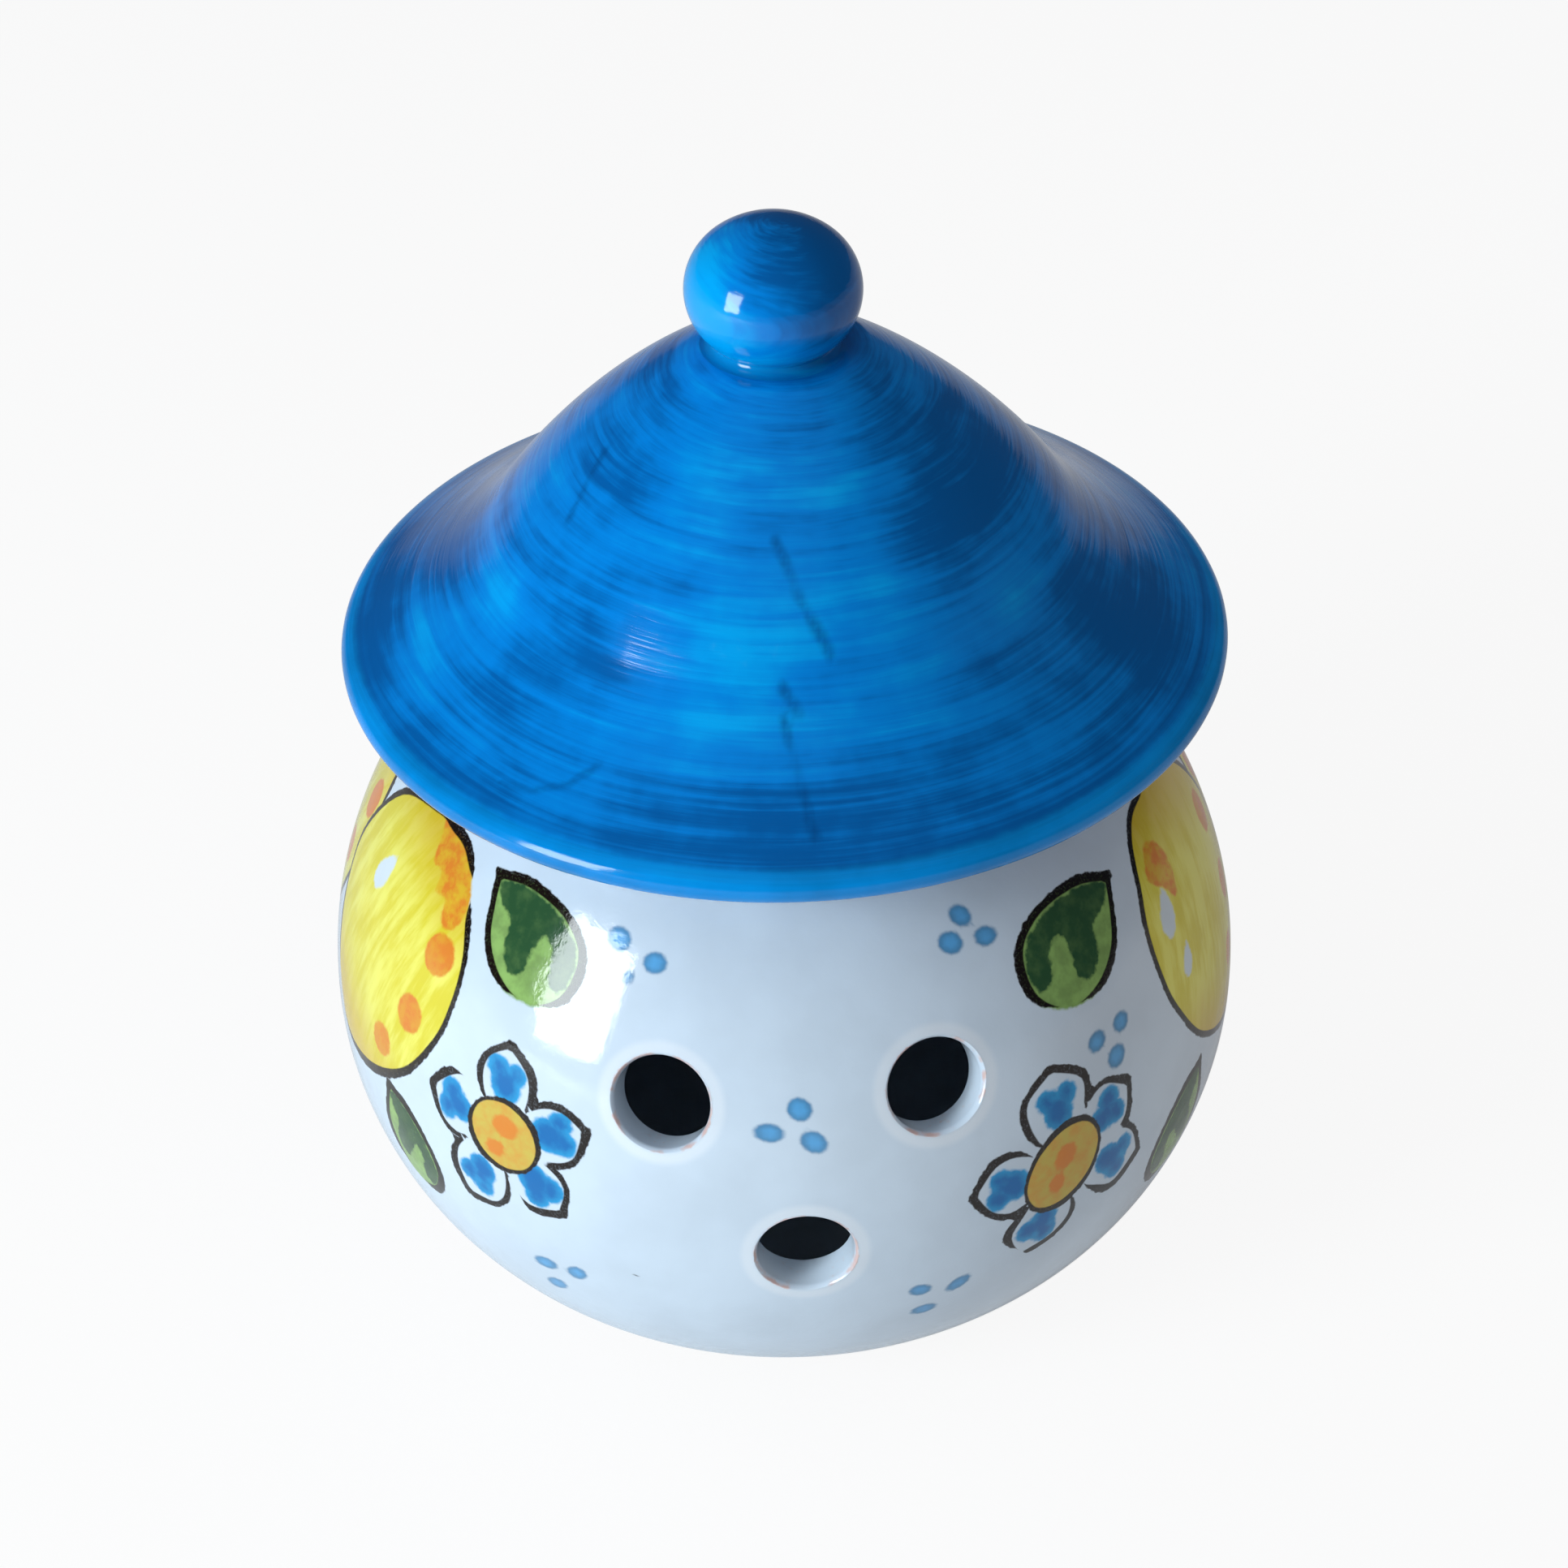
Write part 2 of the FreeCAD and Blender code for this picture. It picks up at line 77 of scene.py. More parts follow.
# Tints beside the named glazes, as a colour socket takes them
PALE_PETAL = (*from_screen(34, 156, 208), 1)
HEART_YELLOW = (*from_screen(190, 168, 62), 1)
# Lighter ring on the vents' rounded edges: a painted highlight
VENT_HIGHLIGHT_WHITE = (0.82, 0.84, 0.86, 1)
# Darker blue round the knob's foot and neck: painted shade in that crease
KNOB_SHADE_BLUE = (0.0, 0.06, 0.24, 1)
STROKE_BLUE = (0.0, 0.045, 0.17, 1)
CHALKY_BLUE = (0.16, 0.52, 0.72, 1)


class PotSizes(bpy.types.PropertyGroup):
    """Sizes of the pot."""

    radius: length("Radius", "Widest radius of the belly", 75)
    belly_height: length("Belly height", "Height of the widest place above the table", 53)
    lower_curve: length("Lower curve", "Radius of the belly's section below the widest place", 56)
    upper_curve: length("Upper curve", "Radius of the belly's section above the widest place", 70)
    wall: length("Wall", "Thickness of the clay", 6)
    foot_recess: length("Foot recess", "Depth of the hollow under the floor", 2.5)
    foot_ring: length("Foot ring", "Width of the ring that the pot stands on", 7)
    neck_radius: length("Neck radius", "Outer radius of the upright neck", 50)
    neck_root: length("Neck root", "Radius of the soft corner under the neck", 5)
    rim_height: length("Rim height", "Height of the rim above the table", 121.5)
    rim_round: length("Rim round", "Radius of the rim's edges", 1.5)
    floor_round: length("Floor round", "Radius between the floor and the wall, inside", 8)
    vent_radius: length("Vent radius", "Radius of each vent hole", 7.5)
    vent_soft: length("Vent edge", "How far the glaze rounds the edge of a vent", 1.3)
    hand: length("Hand", "How much the hand-thrown wall waves, inwards only", 0.18)
    columns: IntProperty(name="Columns", description="Divisions round the pot", default=440, min=64)


class LidSizes(bpy.types.PropertyGroup):
    """Sizes of the lid's hat, locating ring and knob."""

    wall: length("Wall", "Thickness of the hat", 5)
    brim_radius: length("Brim radius", "Outer radius of the brim", 69.8)
    brim_drop: length("Brim drop", "How far the brim's lip hangs below the seat", 3.1)
    brim_curve: length("Brim curve", "Radius of the flared part of the section", 65)
    turn_radius: length("Turn radius", "Where the brim's curve turns into the crown", 44.8)
    turn_rise: length("Turn rise", "Height of that place above the lip", 21.5)
    land_radius: length("Land radius", "Radius of the flat top that carries the knob", 12.5)
    land_rise: length("Land rise", "Height of the flat top above the lip", 50.4)
    cant: FloatProperty(
        name="Cant", description="Slope of the brim, higher on the right", default=math.radians(1.1),
        subtype="ANGLE",
    )
    spigot_radius: length("Spigot radius", "Outer radius of the ring inside the mouth", 43)
    spigot_depth: length("Spigot depth", "How deep the ring reaches into the mouth", 12)
    ring_wall: length("Ring wall", "Thickness of the spigot", 5)
    step_radius: length("Step radius", "Outer radius of the step that stands on the rim", 48.5)
    knob_radius: length("Knob radius", "Widest radius of the ball", 13.4)
    knob_side: length("Knob side curve", "Radius of the ball's side", 10)
    knob_middle: length("Knob middle", "Height of the ball's widest place above the hat", 9.3)
    knob_height: length("Knob height", "Height of the knob above the hat", 20.5)
    knob_foot: length("Knob foot", "Radius of the knob's foot", 9.6)
    knob_neck: length("Knob neck", "Radius of the soft groove above the foot", 1.2)
    knob_collar: length("Knob collar", "Radius of the soft collar of glaze between the knob and the hat", 1.5)
    knob_offset: length("Knob offset", "How far the knob stands left of the middle", 1.6)
    columns: IntProperty(name="Columns", description="Divisions round the hat", default=360, min=64)


class Glazes(bpy.types.PropertyGroup):
    """Colours of the glazes, the paints and the clay."""

    white: colour("White", "Tin-white glaze", 195, 210, 224)
    clay: colour("Clay", "Bare fired clay", 200, 146, 124)
    ink: colour("Ink", "Brown-black line paint", 20, 11, 7)
    yellow: colour("Yellow", "Lemon wash", 202, 190, 16)
    pale_yellow: colour("Pale yellow", "Thin lemon wash", 218, 214, 88)
    ochre: colour("Ochre", "Thick lemon wash", 196, 158, 0)
    orange: colour("Orange", "Blots on the fruit and the flower hearts", 206, 116, 0)
    leaf_light: colour("Light green", "Leaf wash", 132, 170, 88)
    leaf_dark: colour("Dark green", "Leaf strokes", 16, 66, 16)
    petal: colour("Petal blue", "Blots in the petals", 0, 100, 166)
    dot: colour("Dot blue", "Loose dots", 66, 152, 208)
    lid_deep: colour("Deep blue", "Thick blue glaze", 0, 84, 152)
    lid_blue: colour("Blue", "Blue glaze", 0, 118, 200)
    lid_cyan: colour("Light blue", "Thin blue glaze", 0, 150, 218)


# Shapes


def arc(centre, radius, start, end, pieces):
    """Points along part of a circle, from one angle to the other, in degrees."""
    turns = (math.radians(start + (end - start) * n / pieces) for n in range(pieces + 1))
    return [(centre[0] + radius * math.cos(t), centre[1] + radius * math.sin(t)) for t in turns]


def bearing(centre, point):
    """Direction of a point from a centre, in degrees."""
    return math.degrees(math.atan2(point[1] - centre[1], point[0] - centre[0])) % 360


def across(radius, side):
    """The other leg of a right triangle with this hypotenuse."""
    return math.sqrt(radius**2 - side**2)


def meeting(first, second, from_first, from_second, side):
    """The point at these distances from two others, left (1) or right (-1) of the way between them."""
    apart = math.dist(first, second)
    along = (from_first**2 - from_second**2 + apart**2) / (2 * apart)
    aside = side * across(from_first, along)
    x, y = (second[0] - first[0]) / apart, (second[1] - first[1]) / apart
    return first[0] + along * x - aside * y, first[1] + along * y + aside * x


def throw(name, outline, columns, place=(0, 0, 0)):
    """Draws half a section point by point from one vertex, and spins it into a closed round piece."""
    bpy.ops.object.select_all(action="DESELECT")
    bpy.ops.mesh.primitive_plane_add(size=MM)
    piece = bpy.context.object
    piece.name = piece.data.name = name
    bpy.ops.object.mode_set(mode="EDIT")
    bpy.ops.mesh.select_all(action="SELECT")
    bpy.ops.mesh.merge(type="CENTER")
    bpy.ops.transform.translate(value=(outline[0][0], 0, outline[0][1]))
    for (here, level), (out, up) in zip(outline, outline[1:]):
        step = (out - here, 0, up - level)
        bpy.ops.mesh.extrude_region_move(TRANSFORM_OT_translate={"value": step})
    bpy.ops.mesh.select_all(action="SELECT")
    bpy.ops.mesh.spin(steps=columns, angle=math.tau, center=(0, 0, 0), axis=(0, 0, 1))
    bpy.ops.mesh.select_all(action="SELECT")
    bpy.ops.mesh.remove_doubles(threshold=0.002 * MM)
    bpy.ops.mesh.normals_make_consistent(inside=False)
    bpy.ops.transform.translate(value=place)
    bpy.ops.object.mode_set(mode="OBJECT")
    bpy.ops.object.shade_smooth_by_angle(angle=math.radians(40))
    return piece


def vertices_of(piece):
    places = np.empty(len(piece.data.vertices) * 3)
    piece.data.vertices.foreach_get("co", places)
    return places.reshape(-1, 3)


def move_vertices(piece, places):
    piece.data.vertices.foreach_set("co", places.ravel())
    piece.data.update()


def keep_attribute(piece, name, *columns):
    """Stores up to three numbers for each vertex, for the piece's material to read."""
    values = np.zeros((len(piece.data.vertices), 3), np.float32)
    for number, column in enumerate(columns):
        values[:, number] = column
    attribute = piece.data.attributes.new(name, "FLOAT_VECTOR", "POINT")
    attribute.data.foreach_set("vector", values.ravel())


def ease(value, low, high):
    """0 below low, 1 above high, and smooth between."""
    share = np.clip((value - low) / (high - low), 0, 1)
    return share * share * (3 - 2 * share)


def pot_outline(s):
    """Half section of the pot, from the middle of its underside round to the middle of its floor."""
    low, high = (s.radius - s.lower_curve, s.belly_height), (s.radius - s.upper_curve, s.belly_height)
    foot = low[0] + across(s.lower_curve, s.belly_height)
    inside_foot = foot - s.foot_ring
    root_x = s.neck_radius + s.neck_root
    root = (root_x, s.belly_height + across(s.upper_curve + s.neck_root, root_x - high[0]))
    turn = bearing(high, root)
    mouth, rim = s.neck_radius - s.wall, s.rim_height - s.rim_round
    floor = s.foot_recess + s.wall
    corner_reach = across(s.lower_curve - s.wall - s.floor_round, s.belly_height - floor - s.floor_round)
    corner = (low[0] + corner_reach, floor + s.floor_round)
    corner_turn = bearing(low, corner) - 360
    soft = 0.5 * MM
    foot_turn = bearing(low, (foot, 0)) - 360
    points = [(share * inside_foot / 4, s.foot_recess) for share in range(4)]
    points += arc((inside_foot - soft, s.foot_recess - soft), soft, 90, 0, 3)
    points += arc((inside_foot + soft, soft), soft, 180, 270, 3)
    points += arc((foot - 0.4 * soft, soft), soft, 270, 300, 3)[:3]
    points += arc(low, s.lower_curve, foot_turn + 1, 0, 66)
    points += arc(high, s.upper_curve, 0, turn, 56)[1:]
    points += arc(root, s.neck_root, 180 + turn, 180, 6)[1:]
    points += [(s.neck_radius, root[1] + (rim - root[1]) * n / 4) for n in range(1, 4)]
    points += arc((s.neck_radius - s.rim_round, rim), s.rim_round, 0, 90, 5)
    points += arc((mouth + s.rim_round, rim), s.rim_round, 90, 180, 5)
    points += [(mouth, root[1] + (rim - root[1]) * n / 3) for n in (2, 1)]
    points += arc(root, s.neck_root + s.wall, 180, 180 + turn, 5)
    points += arc(high, s.upper_curve - s.wall, turn, 0, 14)[1:]
    points += arc(low, s.lower_curve - s.wall, 0, corner_turn, 10)[1:]
    points += arc(corner, s.floor_round, corner_turn, -90, 5)[1:]
    return points + [(share * corner[0] / 4, floor) for share in (3, 2, 1, 0)]


def arc_length(s, height):
    """How far a height lies along the outer wall from the widest place, upwards positive, in mm."""
    above = height - s.belly_height / MM
    curve = np.where(above < 0, s.lower_curve, s.upper_curve) / MM
    return curve * np.arcsin(np.clip(above / curve, -1, 1))


# Where each vent sits: turn from the front in degrees, and height above the table in mm
VENTS = ((-15.3, 77.1), (19.2, 78.8), (2.6, 52.1))


def vent_axis(s, turn, height):
    """A vent's middle on the belly, and the direction it is bored in, square to the wall."""
    above = height * MM - s.belly_height
    curve = s.lower_curve if above < 0 else s.upper_curve
    tilt, turn = math.asin(above / curve), math.radians(turn)
    outwards = Vector((math.sin(turn) * math.cos(tilt), -math.cos(turn) * math.cos(tilt), math.sin(tilt)))
    reach = s.radius - curve + curve * math.cos(tilt)
    middle = Vector((reach * math.sin(turn), -reach * math.cos(turn), height * MM))
    return middle, outwards


def cut_vents(pot, s):
    """Cuts the three vents with drills that flare in a soft curve where they leave the wall."""
    drills = []
    flare = s.vent_radius + s.vent_soft
    profile = [(0, -3 * s.wall), (s.vent_radius, -3 * s.wall)]
    profile += arc((flare, -s.vent_soft - 0.25 * MM), s.vent_soft, 180, 100, 7)
    profile += [(flare + 1.5 * MM, 0.3 * MM), (flare + 1.5 * MM, s.wall), (0, s.wall)]
    for turn, height in VENTS:
        drill = throw("drill", profile, 72)
        middle, outwards = vent_axis(s, turn, height)
        drill.rotation_mode = "QUATERNION"
        drill.rotation_quaternion = outwards.to_track_quat("Z", "Y")
        drill.location = middle
        drills.append(drill)
    bpy.ops.object.select_all(action="DESELECT")
    for drill in drills:
        drill.select_set(True)
    bpy.context.view_layer.objects.active = drills[0]
    bpy.ops.object.join()
    bore = bpy.context.object
    bpy.ops.object.transform_apply(location=True, rotation=True, scale=True)
    bpy.ops.object.select_all(action="DESELECT")
    pot.select_set(True)
    bpy.context.view_layer.objects.active = pot
    cut = pot.modifiers.new("vents", "BOOLEAN")
    cut.object = bore
    cut.solver = "EXACT"
    bpy.ops.object.modifier_apply(modifier=cut.name)
    bpy.data.objects.remove(bore)
    bpy.ops.object.shade_smooth_by_angle(angle=math.radians(35))


def wave_by_hand(pot, s):
    """Lets the wall wave a little, as a hand-thrown one does. It only ever moves inwards."""
    places = vertices_of(pot)
    turn = np.arctan2(places[:, 0], -places[:, 1])
    height = places[:, 2] / MM
    wave = np.sin(2 * turn + 0.6) + 0.5 * np.sin(3 * turn + 0.06 * height) + 0.4 * np.sin(0.31 * height)
    share = s.hand * (wave / 3.8 - 0.5) * ease(height, 6, 30)
    reach = np.hypot(places[:, 0], places[:, 1])
    places[:, :2] *= (1 + share / np.maximum(reach, 8 * MM))[:, None]
    move_vertices(pot, places)


# Painted motifs
# Each motif is drawn in mm about its own middle, x to the right and y upwards.
# A point is (x, y, half the width of the ink line there), and a negative width leaves a gap.

LEMON = [
    (-2, 24, 0.5), (3.4, 24.6, 0.75), (8, 24.2, 0.7), (11.8, 22, 0.5), (14.4, 19.2, -0.4), (16.8, 15.6, 0.5),
    (20.4, 9.4, 0.45), (21.8, 2, 0.45), (20.6, -6, 0.5), (14.5, -15.8, 0.65), (3, -23, 0.8), (-9, -25, 0.4),
    (-15.5, -20, -0.2), (-19.6, -13, 0.4), (-22.4, -4, 0.3), (-22.8, 5.5, 0.4), (-14.6, 18.6, 0.5),
]
LEMON_BLOTS = [(15.2, 7.2, 3.5, 3.6, 20), (13.2, -5.2, 3.3, 3.3, 30), (6.8, -14.5, 3, 2.9, 30)]
LEMON_PATCH = [
    (0.4, 24.6, 0), (6.4, 24.4, 0), (11, 22, 0), (15.4, 17.6, 0), (15.6, 12.6, 0), (12.6, 11.4, 0),
    (10.4, 15.4, 0), (8, 14.6, 0), (6.6, 18, 0), (3.6, 18, 0), (2.4, 21.4, 0),
]
ORANGE_WEDGE = [(-14, 15, 0), (-9.6, 19.4, 0), (-6.4, 16.4, 0), (-7, 11.6, 0), (-9.4, 8.4, 0), (-11.4, 11.4, 0)]
TEARDROP = [(-9, 4.6, 0), (-6.4, 5.6, 0), (-5, 8.4, 0), (-5.2, 12.4, 0), (-8, 10.4, 0), (-10, 7.4, 0)]

LEAF = [
    (-10.4, 6.8, 0.6), (-10.4, 6.8, 0.6), (-4, 8.3, 0.7), (3.4, 6.7, 0.55), (8.4, 2.9, 0.6), (9.8, -1.6, 0.75),
    (8.2, -6.4, 0.6), (2.6, -8.6, -0.2), (-3.6, -7.4, 0.55), (-7.8, -3, 0.6), (-9.4, 2.4, 0.5),
]
LEAF_STROKES = [
    (-9.6, 6, 0), (-4, 7.4, 0), (3, 5.8, 0), (7.6, 2.2, 0), (8.8, -1.8, 0), (7.4, -5.4, 0), (5, -4, 0),
    (4.2, 0.2, 0), (2, 2, 0), (0.8, -0.4, 0), (0.2, -4.6, 0), (-2.4, -5.6, 0), (-4.4, -2.6, 0),
    (-4.8, 1.4, 0), (-7.4, 3.2, 0),
]
PETAL = [
    (4.4, -2.4, -0.2), (8.4, -5.2, 0.5), (12.4, -4.7, 0.6), (15.4, -0.5, 0.6), (15.4, 0.5, 0.6),
    (12.6, 4.4, 0.5), (8.6, 5.2, 0.55), (4.6, 2.6, 0.1),
]
PETAL_BLOTS = ((8.6, 0, 2.7, 2.9), (11, -1.7, 2.3, 2.2), (11.4, 1.6, 2.4, 2.1), (9.8, 0, 2.4, 2.4))
DOT = (2.2, 1.75)

# Places round the pot: turn from the front in degrees, and arc length from the widest place in mm
LEMONS = ((-65, 25), (172, 24))
PLAIN_LEMONS = ((74.5, 24),)
LEMONS_BEHIND = ((-100, 27, 1), (110, 26, -1), (-154, 27, 1))
LEAVES = (
    (-38, 42.3, 1, 1, 0), (43.4, 39.6, -1, 1.06, -10), (-53, -5, 1, 0.84, -22), (58.6, -7, -1, 0.92, 22),
    (141, 42, -1, 1, 0), (-127, 41, 1, 0.85, 0), (165, -9, 1, 0.9, -22), (-150, -8, -1, 0.9, 22),
)
# and, for a flower, its petals' tips with the heart's half width, half height and turn
FLOWERS = {
    (-35.8, 10.4): (((-0.6, 15.6), (14.4, 6.6), (11, -10.4), (-8, -15.2), (-15.4, 2.4)), (6.8, 6.3, 0)),
    (35.5, 4.8): (((-1.5, 18), (14, 9), (16.4, -7), (-6.4, -15.8), (-16.4, 1)), (8.4, 6.6, 52)),
    (-84, -12): (((2, 15.6), (15, 4.6), (8, -13), (-8, -13), (-15.4, 4.4)), (6.6, 6, 20)),
    (90, -14): (((-3, 15.4), (13, 9), (13, -9), (-3, -15.6), (-15.6, 0.2)), (6.8, 6, 60)),
    (141, 5): (((0, 15), (15, 5), (9.4, -13), (-9.2, -13), (-15, 5)), (7, 6.2, 0)),
    (-127, 2): (((3, 15), (14.4, 3), (7, -13), (-8, -12), (-14, 5)), (6.6, 6, 40)),
}
DOTS = (
    (1.9, 25.5), (-1.8, 21.7), (3.6, 20.1), (27.5, 50.9), (30.4, 46.7), (24.8, 47.4), (47.2, 23.8),
    (42.6, 23.3), (45.3, 18.9), (-24.7, 48), (-18.6, 45.8), (-30.9, -14.3), (-26.3, -13.7),
    (-30.3, -20.2), (16.8, -12.7), (21.8, -13.4), (17.8, -19.2),
)
BACK_DOTS = ((-60, -26), (62, -27), (116, -19), (-106, -19), (154, 50), (-127, 26), (-176, -13), (-172, 50))


def soft_loop(points, parts=6):
    """A smooth closed line through the points. A point given twice makes a corner."""
    here = np.array(points, float)
    before, after, beyond = (np.roll(here, step, axis=0) for step in (1, -1, -2))
    share = (np.arange(parts) / parts)[:, None, None]
    bend = 2 * before - 5 * here + 4 * after - beyond
    twist = 3 * here - before - 3 * after + beyond
    line = here + 0.5 * ((after - before) * share + bend * share**2 + twist * share**3)
    return line.transpose(1, 0, 2).reshape(-1, 3)


def from_edge(x, y, loop):
    """Distance from a closed line, negative inside, and the half width of the ink at its nearest point."""
    nearest, pen = np.full(x.shape, 99.0), np.zeros(x.shape)
    inside = np.zeros(x.shape, bool)
    for (ax, ay, a_pen), (bx, by, b_pen) in zip(loop, np.roll(loop, -1, axis=0)):
        dx, dy = bx - ax, by - ay
        share = np.clip(((x - ax) * dx + (y - ay) * dy) / max(dx * dx + dy * dy, 1e-9), 0, 1)
        away = np.hypot(x - ax - share * dx, y - ay - share * dy)
        closer = away < nearest
        nearest = np.where(closer, away, nearest)
        pen = np.where(closer, a_pen + share * (b_pen - a_pen), pen)
        if ay != by:
            inside ^= ((ay > y) != (by > y)) & (x < ax + (y - ay) * dx / dy)
    return np.where(inside, -nearest, nearest), pen


def turned(points, degrees=0, scale=1, flip=1):
    """Points of a motif, mirrored, sized and turned about its middle."""
    turn = math.radians(degrees)
    cos, sin = scale * math.cos(turn), scale * math.sin(turn)
    return [(flip * x * cos - y * sin, flip * x * sin + y * cos, *rest) for x, y, *rest in points]


class Brushwork:
    """How far each vertex of the pot lies from the edge of each painted shape, in mm."""

    FAR = 20.0
    # How far round a motif's outline its distances are worked out
    MARGIN = 8

    def __init__(self, pot, s):
        places = vertices_of(pot) / MM
        self.turn = np.degrees(np.arctan2(places[:, 0], -places[:, 1]))
        self.reach = np.hypot(places[:, 0], places[:, 1])
        self.rise = arc_length(s, places[:, 2])
        curve = np.where(self.rise < 0, s.lower_curve, s.upper_curve) / MM
        wall = s.radius / MM - curve + curve * np.cos(self.rise / curve)
        self.outside = self.reach > wall - 2.5
        self.edges, self.pens = {}, {}
        self.brush = np.zeros((len(places), 3))
        self.claimed = np.full(len(places), self.FAR)

    def about(self, turn, rise):
        """The place of each vertex, seen from a motif's middle."""
        x = np.radians((self.turn - turn + 180) % 360 - 180) * self.reach
        return x, self.rise - rise

    def fill(self, name, place, loop):
        x, y = self.about(*place)
        span = np.abs(loop[:, :2]).max() + self.MARGIN
        near = self.outside & (np.abs(x) < span) & (np.abs(y) < span)
        edge = self.edges.setdefault(name, np.full(x.shape, self.FAR))
        pen = self.pens.setdefault(name, np.full(x.shape, -1.0))
        away, width = from_edge(x[near], y[near], loop)
        closer = away < edge[near]
        edge[near] = np.where(closer, away, edge[near])
        pen[near] = np.where(closer, width, pen[near])
        self.claim(near, away, x, y, place)

    def blots(self, name, place, ovals):
        """Ovals of (x, y, half width, half height, turn)."""
        x, y = self.about(*place)
        edge = self.edges.setdefault(name, np.full(x.shape, self.FAR))
        for across_x, up, wide, high, *lean in ovals:
            lean = math.radians(lean[0]) if lean else 0
            dx, dy = x - across_x, y - up
            along = dx * math.cos(lean) + dy * math.sin(lean)
            aside = dy * math.cos(lean) - dx * math.sin(lean)
            away = (np.hypot(along / wide, aside / high) - 1) * min(wide, high)
            edge[:] = np.where(self.outside, np.minimum(edge, away), edge)

    def claim(self, near, away, x, y, place):
        """The nearest motif's own x and y, which its brush streaks follow."""
        mine = away < self.claimed[near]
        which = np.flatnonzero(near)[mine]
        self.claimed[which] = away[mine]
        self.brush[which] = np.column_stack([x[which], y[which], np.full(len(which), place[0] % 37)])

    def outlined(self, name, marks):
        """What the glaze needs of an outlined motif: its edge, its ink and the marks inside it."""
        return self.edges[name], self.pens[name], self.edges[marks]


def paint_flower(work, place, tips, heart, hand):
    """A five-petalled flower: petals reach to the tips, with a blue blot in each and a yellow heart."""
    for tip_x, tip_y in tips:
        reach = math.hypot(tip_x, tip_y)
        turn = math.degrees(math.atan2(tip_y, tip_x)) + hand.uniform(-3, 3)
        scale = reach / PETAL[3][0]
        gap = hand.choice(len(PETAL) * 2)
        petal = [
            (x, y * hand.uniform(0.9, 1.08), -0.25 if n == gap else pen * hand.uniform(0.8, 1.25))
            for n, (x, y, pen) in enumerate(PETAL)
        ]
        work.fill("petal", place, soft_loop(turned(petal, turn, scale)))
        for x, y, wide, high in PETAL_BLOTS:
            spot = turned([(x, y)], turn, scale)[0]
            grow = hand.uniform(0.85, 1.15)
            work.blots("petal_blot", place, [(*spot, wide * grow, high * grow, hand.uniform(0, 90))])
    wide, high, lean = heart
    steps = (math.tau * n / 8 for n in range(8))
    ring = [(wide * math.cos(t), high * math.sin(t), 0.42 + 0.16 * math.sin(t * 2)) for t in steps]
    work.fill("heart", place, soft_loop(turned(ring, lean)))
    work.blots("heart_blot", place, [(0.3, 1.8, 2.5, 2, lean), (-1.4, -2.8, 2.1, 1.5, lean + 20)])


def paint_pot(pot, s):
    """Places every motif round the pot and stores the distances for the glaze to read."""
    hand = np.random.default_rng(SEED)
    work = Brushwork(pot, s)
    for place in LEMONS:
        work.fill("lemon", place, soft_loop(LEMON))
        work.fill("patch", place, soft_loop(LEMON_PATCH))
        work.blots("fruit_blot", place, LEMON_BLOTS)
        work.fill("bare", place, soft_loop(TEARDROP))
    for place in PLAIN_LEMONS:
        outline = [(x, y, 0.5) for x, y, _ in turned(LEMON, flip=-1)]
        work.fill("lemon", place, soft_loop(outline))
        work.fill("patch", place, soft_loop(ORANGE_WEDGE))
        work.blots("fruit_blot", place, LEMON_BLOTS)
        for shift, size in (((-6.8, -0.4), 1), ((-8.4, -7.4), 0.7)):
            drop = [(x * size + shift[0], y * size + shift[1], 0) for x, y, _ in TEARDROP]
            work.fill("bare", place, soft_loop(drop))
    for turn, rise, flip in LEMONS_BEHIND:
        work.fill("lemon_behind", (turn, rise), soft_loop(turned(LEMON, flip=flip)))
        ovals = [(flip * x, y, wide, high, flip * lean) for x, y, wide, high, lean in LEMON_BLOTS]
        work.blots("behind_blot", (turn, rise), ovals)
    for turn, rise, flip, scale, lean in LEAVES:
        work.fill("leaf", (turn, rise), soft_loop(turned(LEAF, lean, scale, flip)))
        work.fill("leaf_stroke", (turn, rise), soft_loop(turned(LEAF_STROKES, lean, scale, flip)))
    for place, (tips, heart) in FLOWERS.items():
        paint_flower(work, place, tips, heart, hand)
    spots = list(DOTS)
    for turn, rise in BACK_DOTS:
        spots += [(turn, rise), (turn - 3.2, rise - 4.2), (turn + 2.2, rise - 4.8)]
    for place in spots:
        wide, high = (size * hand.uniform(0.85, 1.12) for size in DOT)
        work.blots("dot", place, [(0, 0, wide, high, hand.uniform(-50, 50))])
    work.blots("dot", (-22, 42.8), [(0, 0, 0.9, 1.2, -20)])
    work.blots("speck", (-18.2, -9.2), [(0, 0, 0.75, 0.22, -12)])
    work.blots("speck", (11.5, 33), [(0, 0, 0.3, 0.3, 0)])
    inner_marks = {"lemon": "fruit_blot", "leaf": "leaf_stroke", "petal": "petal_blot", "heart": "heart_blot"}
    for name, marks in inner_marks.items():
        keep_attribute(pot, name, *work.outlined(name, marks))
    keep_attribute(pot, "lemon_marks", work.edges["patch"], work.edges["bare"], work.edges["behind_blot"])
    keep_attribute(pot, "lemon_behind", work.edges["lemon_behind"], work.pens["lemon_behind"])
    places = vertices_of(pot)
    vent = np.full(len(places), 30.0)
    for turn, height in VENTS:
        middle, outwards = vent_axis(s, turn, height)
        offset = places - np.array(middle)
        along = offset @ np.array(outwards)
        away = np.sqrt(np.maximum((offset**2).sum(axis=1) - along**2, 0)) / MM
        vent = np.where(np.abs(along) < 12 * MM, np.minimum(vent, away), vent)
    keep_attribute(pot, "spots", work.edges["dot"], vent, work.edges["speck"])
    keep_attribute(pot, "brush", *work.brush.T)


